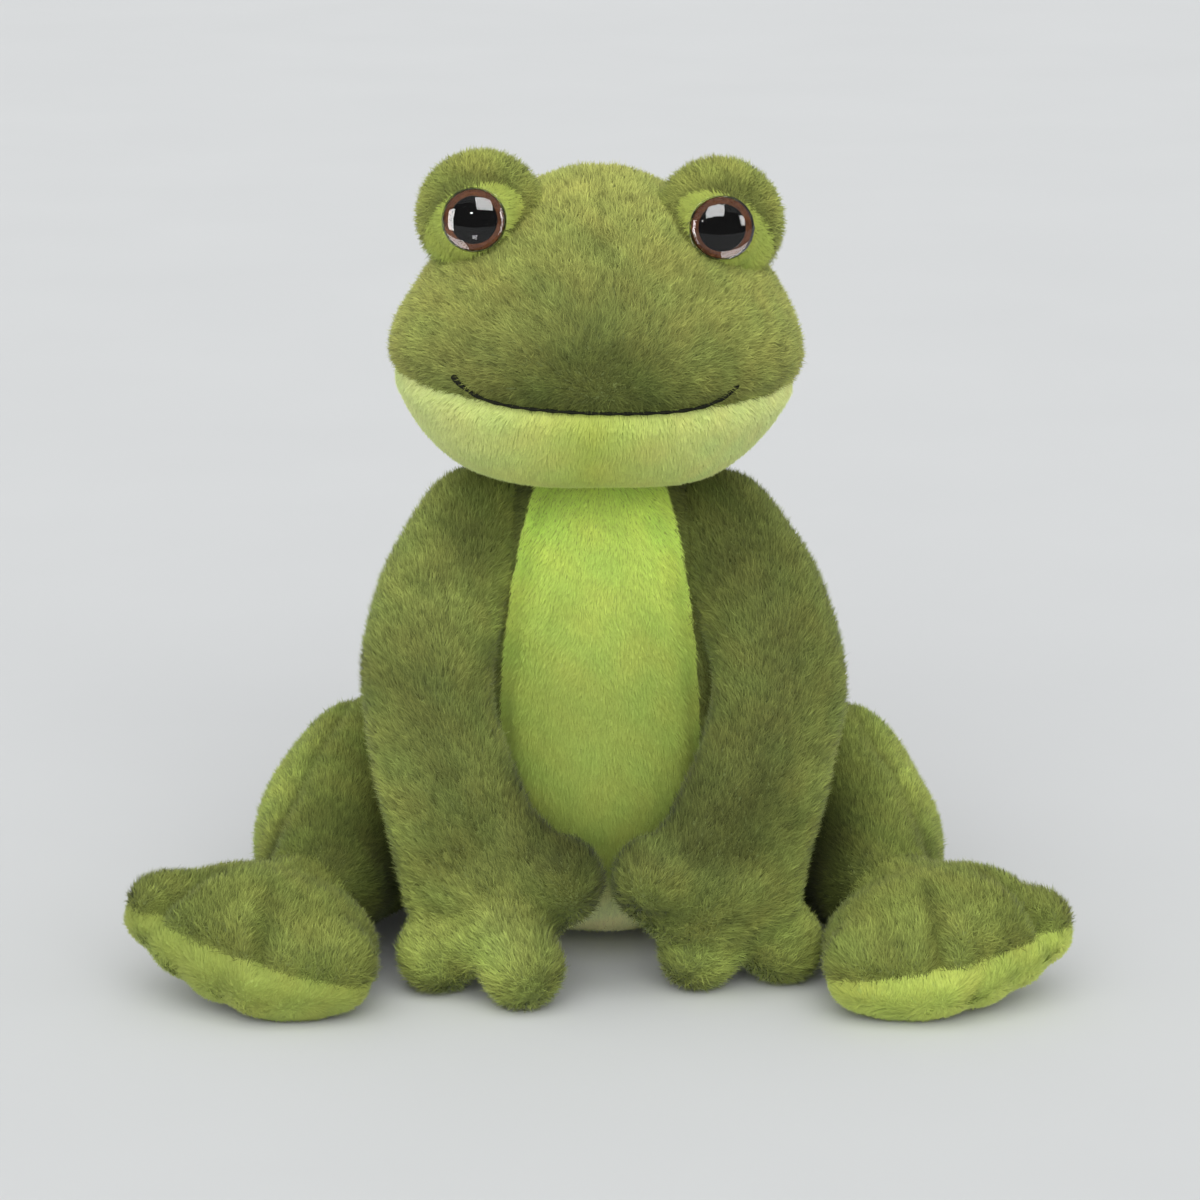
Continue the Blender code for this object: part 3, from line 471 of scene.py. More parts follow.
def two_cloths(piece, light):
    """Gives the stuffing's skin dark backing cloth, and light where light says so."""
    piece.data.materials.append(dark_cloth)
    piece.data.materials.append(light_cloth)
    middle = np.empty(len(piece.data.polygons) * 3, np.float32)
    piece.data.polygons.foreach_get("center", middle)
    inside = light(middle.reshape(-1, 3).astype(float))
    piece.data.polygons.foreach_set("material_index", inside.astype(np.int32))


def torso_share(points, grow):
    """Below 1 inside the torso grown by a distance."""
    heights, half_widths, half_depths = np.array(TORSO[::-1]).T * MM
    wide = np.maximum(np.interp(points[:, 2], heights, half_widths) + grow, MM)
    deep = np.maximum(np.interp(points[:, 2], heights, half_depths) + grow, MM)
    return np.hypot(points[:, 0] / wide, points[:, 1] / deep)


torso_form = bmesh.new()
torso_rings = [level_ring((0, 0, height), wide, deep) for height, wide, deep in eased(TORSO)]
hull_of(torso_form, torso_rings, 48)
for _, side in SIDES:
    shoulder = Vector((side * SHOULDER_ASIDE, 0, SHOULDER_HEIGHT)) * MM
    lobe(torso_form, shoulder, [SHOULDER_ROUND * MM - PILE_DEPTH] * 3)
torso = stuffed("torso_stuffing", torso_form, 3 * MM, 6)

BELLY_HALF_WIDTH = 31.5 * MM
BELLY_HALF_HEIGHT = 100 * MM
BELLY_MIDDLE = 72 * MM
BELLY_SPAN = 34 * MM
TORSO_PILE_TOP = 154 * MM


def belly_edge(points):
    """About how far inside the belly panel's oval edge a point is."""
    across = points[:, 0] / BELLY_HALF_WIDTH
    along = (points[:, 2] - BELLY_MIDDLE) / BELLY_HALF_HEIGHT
    return (1 - np.hypot(across, along)) * BELLY_SPAN


def belly_front(points):
    """How far in front of the belly panel's end a point is; it ends under the seat, near the back."""
    return np.interp(points[:, 2], (30 * MM, 60 * MM), (22 * MM, -4 * MM)) - points[:, 1]


def torso_furrows(points):
    front = belly_front(points) > 0
    side_seam = np.where(front, dent(belly_edge(points), 4 * MM, 1.6 * MM), 0)
    back_seam = np.where(points[:, 1] > 0, dent(points[:, 0], 3 * MM, 1.3 * MM), 0)
    return side_seam + back_seam + 0.5 * MM * ripple(points, 60 * MM, 11)


press(torso, torso_furrows)
two_cloths(torso, lambda p: (belly_edge(p) > 0) & (belly_front(p) > 0))
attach(torso, "torso")
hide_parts("body_filling_fibre", "pellet_bag")


def downward(points, out):
    return np.tile((0.0, -0.15, -1.0), (len(points), 1))


def belly_grows(points, out, room):
    on_belly = (belly_edge(points) > -room) & (belly_front(points) > -room)
    return on_belly & (points[:, 2] < TORSO_PILE_TOP)


def belly_colour(points, out):
    """Painted light and shade: bright under the chin and at the panel's edge beside the arms, darker down
    in the lap, and pale beneath with painted bounce light from the floor.
    """
    # Painted light under the chin and at the panel's edge, painted shade down in the lap
    tone = np.interp(points[:, 2], (40 * MM, 90 * MM, 135 * MM), (0.66, 0.75, 1.33))
    tone = tone * (1.25 - 0.25 * rise(belly_edge(points), 0, 14 * MM))
    # Painted bounce light from the floor, paler towards the seat
    floor_bounce_light = rise(points[:, 2], 32 * MM, 12 * MM)[:, None]
    return linear(181, 201, 96) * tone[:, None] * (1 - floor_bounce_light) + linear(252, 254, 188) * floor_bounce_light


belly = pile("belly_pile", torso, light_pile, belly_grows, belly_colour, downward, **SHORN)
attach(belly, "torso")
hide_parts("belly_skin")


def dark_colour(points, out):
    """The dark plush, with painted light where it faces up."""
    up = np.clip(out[:, 2], -1, 1)[:, None]
    return linear(112, 121, 60) + up * linear(30, 32, 16)


for side_name, side in SIDES:

    def back_grows(points, out, room):
        off_belly = (belly_edge(points) < room) | (belly_front(points) < room)
        return off_belly & (points[:, 0] * side > -room) & (points[:, 2] < TORSO_PILE_TOP)

    back = pile(f"back_pile_{side_name}", torso, dark_pile, back_grows, dark_colour, downward, LONG)
    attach(back, "torso")
    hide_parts(f"back_skin_{side_name}")

# Arms: each is two long panels sewn edge to edge and stuffed, with a thumb and two fingers
# shaped by stitches through the hand, and is sewn to the body at the shoulder.

# Stations of x, y, z, half width and half thickness, from the shoulder to the palm
ARM_STATIONS = {
    "left": (
        (38.3, -2, 131, 19.6, 19.6),
        (51, -25.7, 113, 21.8, 20.5),
        (57, -47, 90.3, 21.7, 21),
        (52.4, -63.9, 69, 21.7, 20.5),
        (44.5, -76, 49, 23.5, 19),
        (39.3, -83, 34, 25, 16),
    ),
    "right": (
        (-39.3, -2, 131.5, 20, 20),
        (-50.3, -25.7, 113, 21.8, 20.5),
        (-55, -47, 90.3, 21.7, 21),
        (-50.6, -63.9, 69, 21.7, 20.5),
        (-42.9, -76, 49, 23.5, 19),
        (-38, -83, 34, 25, 16),
    ),
}
# The middle and radius of each finger's end, the thumb last
FINGERS = {
    "left": ((31, -82, 12.5, 13), (57.5, -76, 12.8, 13), (17.4, -87, 36.8, 14.3)),
    "right": ((-24, -101, 12.8, 13), (-51, -85, 12.5, 13), (-12.6, -87, 36.8, 14.3)),
}
FINGER_SWELL = 0.6
WEBS = ((11, 11, 11), (12, 11, 12))
ARM_SEAM = np.array(((0, -9, 129), (0, -90, 34))) * MM
SUNK = 6 * MM  # how deep inside the torso a limb's pile stops
# Painted light and shade on each arm: how much lighter or darker than its middle it is low down, high up
# and at the thumb, and the painted shade of the fold in front of the shoulder
ARM_PAINTED_LIGHT = {
    "left": {"low": -0.18, "high": 0, "thumb": 0.25, "fold_shade": 0.34, "fold_shade_at": (35.5, -37, 128.5)},
    "right": {"low": 0.1, "high": 0.55, "thumb": -0.38, "fold_shade": 0.5, "fold_shade_at": (-38.5, -34, 133.5)},
}
FOLD_SHADE_SIZE = (13, 20, 17)


def limb(form, stations, sideways, segments=24):
    """Adds a stuffed limb through stations of x, y, z, half width and half thickness."""
    rows = eased([Vector(station) for station in stations])
    rings = []
    for count, row in enumerate(rows):
        way = rows[min(count + 1, len(rows) - 1)] - rows[max(count - 1, 0)]
        way = Vector(way[:3]).normalized()
        across = (sideways - way * sideways.dot(way)).normalized()
        rings.append((Vector(row[:3]), across * row[3], way.cross(across) * row[4], way))

    def cap(ring, outward):
        middle, across, thick, way = ring
        depth = min(across.length, thick.length) * outward
        turns = [math.radians(turn) for turn in (90, 70, 50, 30, 12)]
        return [
            (middle + way * depth * math.sin(t), across * math.cos(t), thick * math.cos(t))
            for t in turns
        ]

    middles = [ring[:3] for ring in rings]
    hull_of(form, cap(rings[0], -1) + middles + cap(rings[-1], 1)[::-1], segments)


def shrunk(station):
    """A station in metres, its half sizes brought in by the depth of the pile."""
    inset = PILE_DEPTH / MM
    return [value * MM for value in (*station[:3], *(size - inset for size in station[3:]))]


for side_name, side in SIDES:
    stations, fingers = ARM_STATIONS[side_name], FINGERS[side_name]
    arm_form = bmesh.new()
    limb(arm_form, [shrunk(station) for station in stations], Vector((1, 0, 0)))
    palm, wrist = Vector(stations[-1][:3]), Vector(stations[-2][:3])
    for x, y, z, radius in fingers:
        knuckle = palm.lerp(Vector((x, y, z)), 0.3)
        halves = (radius + FINGER_SWELL,) * 2
        limb(arm_form, [shrunk((*knuckle, *halves)), shrunk((x, y, z, *halves))], Vector((1, 1, 0)), 16)
    webs = [Vector(one[:3]).lerp(Vector(two[:3]), 0.5) for one, two in (fingers[:2], fingers[::2])]
    for web, size in zip(webs, WEBS):
        lobe(arm_form, web.lerp(palm, 0.3) * MM, [radius * MM for radius in size])
    lobe(arm_form, (palm + Vector((side * -5, -2, -2))) * MM, (25 * MM, 15 * MM, 18 * MM))
    lobe(arm_form, wrist.lerp(Vector(fingers[2][:3]), 0.5) * MM, [14.5 * MM] * 3)
    arm = stuffed(f"arm_stuffing_{side_name}", arm_form, 2.4 * MM, 3)
    seam_up = np.cross((1, 0, 0), ARM_SEAM[1] - ARM_SEAM[0])
    seam_up = seam_up / np.linalg.norm(seam_up) * (1 if seam_up[2] > 0 else -1)

    def above_arm_seam(points):
        return (points - ARM_SEAM[0]) @ seam_up

    def arm_furrows(points):
        depth = dent(above_arm_seam(points), 3 * MM, 0.8 * MM) * (points[:, 0] * side > 0)
        return depth + 0.5 * MM * ripple(points, 40 * MM, 12)

    press(arm, arm_furrows)
    arm.data.materials.append(dark_cloth)
    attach(arm, f"arm_{side_name}")
    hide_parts(f"arm_{side_name}_fibre")
    run = np.array([station[:3] for station in stations]) * MM
    run_ways = unit(np.gradient(run, axis=0))

    def arm_comb(points, out):
        """Up the arm, and a little outwards."""
        near = np.argmin(np.linalg.norm(points[:, None] - run[None], axis=2), axis=1)
        return np.array((side * 0.25, 0.2, 0.2)) - run_ways[near]

    for panel, sign in (("upper", 1), ("under", -1)):

        def arm_grows(points, out, room):
            return (above_arm_seam(points) * sign > -room) & (torso_share(points, -SUNK) > 1)

        def arm_colour(points, out):
            painted_light = ARM_PAINTED_LIGHT[side_name]
            height = points[:, 2]
            low, high = rise(height, 95 * MM, 65 * MM), rise(height, 95 * MM, 115 * MM)
            hand, tip = rise(height, 46 * MM, 22 * MM), rise(height, 22 * MM, 8 * MM)
            thumb = rise(np.abs(points[:, 0]), 28 * MM, 18 * MM) * rise(height, 70 * MM, 55 * MM)
            inner = np.clip(-out[:, 0] * side, 0, 1) * rise(height, 55 * MM, 75 * MM)
            outer = np.clip(out[:, 0] * side, 0, 1) ** 1.5 * (0.6 + 0.75 * low)
            # The hand is lighter, most at the fingertips. Painted light and shade: by height, differing
            # from side to side; lighter where the arm faces the body, a painted rim light where it faces
            # out; lighter at the left thumb and darker at the right; and the painted shade of the
            # shoulder fold
            tone = 0.78 + painted_light["low"] * low + 0.95 * hand + 0.4 * tip + painted_light["high"] * high
            tone = tone + 0.6 * inner + outer + painted_light["thumb"] * thumb
            away = (points / MM - painted_light["fold_shade_at"]) / FOLD_SHADE_SIZE
            fold_shade = painted_light["fold_shade"] * np.exp(-(away**2).sum(axis=1))
            return dark_colour(points, out) * (tone * (1 - fold_shade))[:, None]

        name = f"arm_{panel}_pile_{side_name}"
        cover = pile(name, arm, dark_pile, arm_grows, arm_colour, arm_comb, LONG)
        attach(cover, f"arm_{side_name}")
        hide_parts(f"arm_skin_{panel}_{side_name}")

# Legs: a round haunch tapering to the ankle, from an inner and an outer panel with the seam
# along the top, stuffed, and sewn to the hip.

# Stations of x, y, z, half width and half thickness, from the hip to the ankle
LEGS = {
    "left": (
        (70.5, 4, 38, 33.8, 33.8),
        (78.5, -14.5, 33.5, 31, 31),
        (84.5, -35.6, 31.5, 27, 27),
        (88, -62, 27.5, 20.5, 20.5),
    ),
    "right": (
        (-70.5, 4, 38, 34.6, 34.6),
        (-79.5, -14.5, 34, 31.8, 31.8),
        (-85, -35.6, 31.5, 27.2, 27.2),
        (-88, -62, 27.5, 20.5, 20.5),
    ),
}
LEG_SEAM_ASIDE, LEG_SEAM_BACK = 83, 4
# Painted light and shade on each leg: how light it is, how dark the painted shade beside the arm goes and
# how bright the painted light at its outer edge
LEG_PAINTED_LIGHT = {
    "left": {"whole": 1.65, "beside_arm": 0.7, "edge": 0},
    "right": {"whole": 1.28, "beside_arm": 0.32, "edge": 0.35},
}

for side_name, side in SIDES:
    stations = LEGS[side_name]
    leg_form = bmesh.new()
    limb(leg_form, [shrunk(station) for station in stations], Vector((1, 0, 0)))
    leg = stuffed(f"leg_stuffing_{side_name}", leg_form, 2.8 * MM, 4)
    leg_seam = np.array((side * LEG_SEAM_ASIDE, LEG_SEAM_BACK, 0)) * MM
    outward = np.array((side * 0.953, 0.303, 0))

    def outside_leg_seam(points):
        return (points - leg_seam) @ outward

    def leg_furrows(points):
        return dent(outside_leg_seam(points), 3 * MM, 1.9 * MM) + 0.5 * MM * ripple(points, 40 * MM, 13)

    press(leg, leg_furrows)
    leg.data.materials.append(dark_cloth)
    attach(leg, f"leg_{side_name}")
    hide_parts(f"leg_{side_name}_fibre")
    course = np.array((stations[-1][0] - stations[0][0], stations[-1][1] - stations[0][1], 0.0))

    def leg_comb(points, out):
        """Back up the leg, and a little upwards and outwards."""
        return np.tile(np.array((side * 0.15, 0.2, 0.25)) - unit(course[None])[0], (len(points), 1))

    for panel, sign in (("outer", 1), ("inner", -1)):

        def leg_grows(points, out, room):
            return (outside_leg_seam(points) * sign > -room) & (torso_share(points, -SUNK) > 1)

        def leg_colour(points, out):
            painted_light = LEG_PAINTED_LIGHT[side_name]
            aside, under = np.abs(points[:, 0]), rise(points[:, 2], 74 * MM, 46 * MM)
            # Painted shade on the inner panel, along the seam, towards the ankle and beside the arm, and
            # painted light at the outer edge; the whole leg's painted light differs from side to side
            tone = painted_light["whole"] * (0.88 if panel == "inner" else 1)
            tone = tone - dent(outside_leg_seam(points), 2.4 * MM, 0.4)
            tone = tone - 0.45 * rise(points[:, 1], -38 * MM, -60 * MM)
            tone = tone * (1 - painted_light["beside_arm"] * rise(aside, 97 * MM, 77 * MM) * under)
            tone = tone * (1 + painted_light["edge"] * rise(aside, 90 * MM, 102 * MM) * under)
            return dark_colour(points, out) * tone[:, None] * (1.12, 1.15, 1.0)

        name = f"leg_{panel}_pile_{side_name}"
        cover = pile(name, leg, dark_pile, leg_grows, leg_colour, leg_comb, LONG)
        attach(cover, f"leg_{side_name}")
        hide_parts(f"leg_skin_{panel}_{side_name}")

# Feet: a dark top and a light sole sewn round the edge, stuffed, with stitches pulled
# through between three blunt toes.

# The middle and radius of each toe's end, from the outer one in; a point of the seam's plane and how many
# degrees it rises outwards; the painted light on the top and the sole, which differs from side to side
FEET = {
    "left": {
        "toes": ((136, -89.7, 22.5, 13.3), (104, -110.4, 15.5, 15.8), (83, -109.5, 15.5, 15)),
        "seam_at": (103, -92, 17.5),
        "seam_tilt": 8,
        "painted_light": (1.1, 1.14),
    },
    "right": {
        "toes": ((-136.3, -89.7, 27.5, 13.5), (-104, -110.4, 15.5, 15.8), (-83, -109.5, 15.5, 15)),
        "seam_at": (-103, -92, 19),
        "seam_tilt": 14,
        "painted_light": (1, 0.82),
    },
}
FOOT_MIDDLE, FOOT_HALVES, FOOT_TILT = (103, -92, 21.5), (35, 29, 20), 15
ANKLE = ((88, -66, 26, 16, 16), (104, -86, 22.5, 19, 19))
TOE_ROOT = (97, -80, 24, 14, 14)
# The stitched furrows between the toes, pressed in and darkened with painted shade
CREASE_ROOT, CREASE_ENDS = (99, -85), ((142, -104), (105, -127))
CREASE_SHADES = ((118, -93, 142, -104), (102, -102, 105, -127))
ANKLE_ROOM = 17 * MM
HEEL_WHORL = (85, -45, 60)


def to_side(station, side):
    """A station of the left side, carried to either side."""
    return (side * station[0], *station[1:])


def near_line(points, ends):
    """Each point's distance from the line through two ends, and how far along it lies."""
    start, end = (np.array(place[:3]) * MM for place in ends)
    way = end - start
    part = np.clip(((points - start) @ way) / (way @ way), 0, 1)
    return np.linalg.norm(points - start - part[:, None] * way, axis=1), part


for side_name, side in SIDES:
    foot_row = FEET[side_name]
    toes = foot_row["toes"]
    top_painted_light, sole_painted_light = foot_row["painted_light"]
    inset = PILE_DEPTH / MM
    foot_form = bmesh.new()
    tilted = Matrix.Rotation(math.radians(-FOOT_TILT) * side, 4, "Y")
    halves = [(size - inset) * MM for size in FOOT_HALVES]
    lobe(foot_form, Vector(to_side(FOOT_MIDDLE, side)) * MM, halves, tilted)
    limb(foot_form, [shrunk(to_side(station, side)) for station in ANKLE], Vector((0, 0, 1)), 16)
    for x, y, z, radius in toes:
        toe = [shrunk(to_side(TOE_ROOT, side)), shrunk((x, y, z, radius, radius))]
        limb(foot_form, toe, Vector((0, 0, 1)), 16)
    for one, two, fuller in ((*toes[:2], 1.3), (*toes[1:], 0.7)):
        for part in (0.3, 0.65):
            x, y, z, radius = Vector(one).lerp(Vector(two), part)
            lobe(foot_form, Vector((x, y, z - fuller)) * MM, [(radius + fuller - inset) * MM] * 3)
    foot = stuffed(f"foot_stuffing_{side_name}", foot_form, 2.2 * MM, 4)
    tilt = math.radians(foot_row["seam_tilt"]) * side
    seam_up = np.array((-math.sin(tilt), 0, math.cos(tilt)))
    seam_place = np.array(foot_row["seam_at"]) * MM

    def above_sole_seam(points):
        return (points - seam_place) @ seam_up

    def near_crease(points, start, end):
        """How far a point is from a line between the toes, seen from above, and how far along."""
        ends = ((side * start[0], start[1], 0), (side * end[0], end[1], 0))
        return near_line(points * (1, 1, 0), ends)

    def foot_furrows(points):
        seam = above_sole_seam(points)
        depth = dent(seam, 2.5 * MM, 1.2 * MM)
        for end in CREASE_ENDS:
            away, part = near_crease(points, CREASE_ROOT, end)
            above = rise(seam, -2.4 * MM, 1.6 * MM)
            depth = depth + dent(away, 3.2 * MM, 5.5 * MM) * rise(part, 0.35, 0.85) * above
        return depth

    press(foot, foot_furrows)
    two_cloths(foot, lambda p: above_sole_seam(p) < 0)
    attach(foot, f"foot_{side_name}")
    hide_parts(f"foot_{side_name}_fibre")

    def foot_comb(points, out):
        return unit(np.array(to_side(HEEL_WHORL, side)) * MM - points)

    def off_leg(points):
        return near_line(points, LEGS[side_name][2:])[0] > ANKLE_ROOM

    def foot_grows(points, out, room):
        return (above_sole_seam(points) > -room) & off_leg(points)

    def sole_grows(points, out, room):
        return (above_sole_seam(points) < room) & off_leg(points)

    def foot_colour(points, out):
        # Painted shade in the furrows between the toes and towards the ankle
        crease_shade = sum(
            dent(near_crease(points, row[:2], row[2:])[0], 2.5 * MM, 0.35) for row in CREASE_SHADES
        )
        ankle_shade = 0.3 * rise(points[:, 1], -78 * MM, -66 * MM)
        shade = (1 - crease_shade - ankle_shade)[:, None] * top_painted_light
        return dark_colour(points, out) * shade * (1.28, 1.28, 1.18)

    def sole_colour(points, out):
        # The sole's painted light differs from side to side
        return np.tile(linear(180, 194, 96) * sole_painted_light, (len(points), 1))

    name = f"foot_top_pile_{side_name}"
    top = pile(name, foot, dark_pile, foot_grows, foot_colour, foot_comb, MIDDLING)
    name = f"foot_sole_pile_{side_name}"
    sole = pile(name, foot, light_pile, sole_grows, sole_colour, foot_comb, **SHORN)
    for cover, node, slot in (
        (top, "foot_top_skin", "dark_plush"),
        (sole, "foot_sole_skin", "light_plush"),
    ):
        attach(cover, f"foot_{side_name}")
        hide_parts(f"{node}_{side_name}")

# Head: a wide ball of fibre in two dark panels that meet along the crown, and a light panel
# under the chin, which is sewn to them along the mouth and cheeks.
head_turn = Matrix.Translation(Vector((-2.7, 0, 151.5)) * MM) @ Matrix.Rotation(math.radians(1.8), 4, "Y")
head_way = np.array(head_turn.to_3x3())
head_place = np.array(head_turn.translation)
# Rows of height over the neck seam, half width, half depth and how far ahead its middle lies
HEAD = (
    (99.0, 0, 0, 11.2),
    (95, 15.0, 16.5, 11.2),
    (84.6, 34.8, 36.0, 13),
    (71.6, 51.2, 48.7, 16),
    (60.7, 59.0, 55.8, 18.7),
    (49.8, 64.7, 59.1, 21.1),
    (38.8, 65.8, 59.1, 22.5),
    (26.9, 61.6, 56.6, 22.3),
    (14.9, 54.4, 50, 20.5),
    (6, 45.3, 41, 17.5),
    (1.3, 37.2, 27.5, 12),
    (-1.2, 28, 17.5, 9),
    (-2.9, 0, 0, 9),
)
# Heights, and how far the head leans to its left there
HEAD_ASIDE = ((-6, 6, 20, 38, 60, 75, 95), (-1.2, -1.4, -0.6, 0, 1.0, 0.5, 0))
JAW_RISE = math.radians(3.7)
LIP_HEIGHT, LIP_AHEAD = 32.7, 80
CHIN_BACK = 16 * MM
HEAD_PILE_FLOOR = -2 * MM


def in_head(points):
    """Points as the head carries them, from the neck seam up."""
    return (points - head_place) @ head_way


head_form = bmesh.new()
head_rings = [
    level_ring((np.interp(height, *HEAD_ASIDE), -ahead, height), wide, deep)
    for height, wide, deep, ahead in eased(HEAD)
]
hull_of(head_form, head_rings, 48)
bmesh.ops.transform(head_form, matrix=head_turn, verts=head_form.verts)
head = stuffed("head_stuffing", head_form, 3 * MM, 3)


def chin_edge(points):
    """How far above the chin's seam a point is; behind the cheeks the seam curves down."""
    held = in_head(points)
    drop = 36 * MM * np.clip((held[:, 1] + 22 * MM) / (36 * MM), 0, 1.2) ** 2
    lip = LIP_HEIGHT * MM + (LIP_AHEAD * MM + held[:, 1]) * math.tan(JAW_RISE)
    return held[:, 2] - lip + drop


def head_furrows(points):
    held = in_head(points)
    front = rise(held[:, 1], -30 * MM, -60 * MM)
    seam = dent(chin_edge(points), 3 * MM, 1.4 * MM + 1.6 * MM * front) * (held[:, 1] < CHIN_BACK)
    crown = dent(held[:, 0], 2.5 * MM, 1.0 * MM) * (held[:, 2] > 60 * MM)
    return seam + crown + 0.6 * MM * ripple(points, 55 * MM, 14)


press(head, head_furrows)
two_cloths(head, lambda p: (chin_edge(p) < 0) & (in_head(p)[:, 1] < CHIN_BACK))
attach(head, "head")
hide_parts("head_filling_fibre")


def head_comb(points, out):
    """Up and back from the nose, down at the back of the head, and down and back on the chin."""
    held = in_head(points)
    up = unit(held - np.array((0, -95, 35)) * MM)
    behind = rise(held[:, 1], -10 * MM, 25 * MM)[:, None]
    up = up * (1 - behind) + np.array((0, 0.2, -1)) * behind
    return np.where(chin_edge(points)[:, None] > 0, up, np.array((0, 0.8, -1)))


def head_colour(points, out):
    """Painted light on the crown and cheeks, and painted shade round the nose and over the lips."""
    held = in_head(points)
    front = rise(held[:, 1], -15 * MM, -50 * MM)
    low = rise(held[:, 2], 96 * MM, 51 * MM) ** 0.8
    middle = rise(np.abs(held[:, 0]), 62 * MM, 0)
    lip_shade = 0.25 * rise(held[:, 2], 55 * MM, 35 * MM)
    shade = (front * low * np.clip(0.2 + 0.8 * middle + lip_shade, 0, 1))[:, None]
    # Painted shade along the crown seam
    seam = 1 - dent(held[:, 0], 1.3 * MM, 0.2) * (held[:, 2] > 78 * MM)
    return (linear(173, 179, 95) * (1 - shade) + linear(98, 107, 52) * shade) * seam[:, None]


def chin_grows(points, out, room):
    held = in_head(points)
    on_chin = (chin_edge(points) < room) & (held[:, 1] < CHIN_BACK + room)
    return on_chin & (held[:, 2] > HEAD_PILE_FLOOR)


def chin_colour(points, out):
    # Painted sheen: lighter and paler towards the sides
    edge = rise(np.abs(in_head(points)[:, 0]), 0, 60 * MM)[:, None]
    return linear(190, 204, 98) * (1 - edge) + linear(226, 236, 156) * edge


chin = pile("chin_pile", head, light_pile, chin_grows, chin_colour, head_comb, **SHORN)
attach(chin, "head")
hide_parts("chin_skin")
for side_name, side in SIDES:

    def head_grows(points, out, room):
        held = in_head(points)
        off_chin = (chin_edge(points) > -room) | (held[:, 1] > CHIN_BACK - room)
        return off_chin & (held[:, 0] * side > -room) & (held[:, 2] > HEAD_PILE_FLOOR)

    name = f"head_pile_{side_name}"
    cover = pile(name, head, dark_pile, head_grows, head_colour, head_comb, MIDDLING)
    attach(cover, "head")
    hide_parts(f"head_skin_{side_name}")

# Eye mounds: two small stuffed pockets sewn to the crown, each a dark hood over a light
# almond that shows at both corners of the eye, and pressed flat where the eye is set in.
MOUND_PLACE = (36.6, -24, 83.5)
MOUND_LOOK_UP, MOUND_LOOK_OUT = math.radians(9), math.radians(7)
MOUND_HALVES = (22.4, 22.6, 21.6)
MOUND_INSET = 2.8
EYE_ASIDE = {"left": -1.3 * MM, "right": 0}
EYE_LOW = 1 * MM
EYE_BED = 19.2 * MM
EYE_BED_ROUND = 13 * MM
EYE_CLEAR = 8.6 * MM
ALMOND_HALF_LONG, ALMOND_HALF_SHORT, ALMOND_OUTWARD = 16.5 * MM, 9.2 * MM, 2 * MM
ALMOND_SLANT = math.radians(32)
PATCH_PILE = {"length": 2.2 * MM, "thick": 6, "soft": 0.35, "tuft": 1.2}
EYES = {}
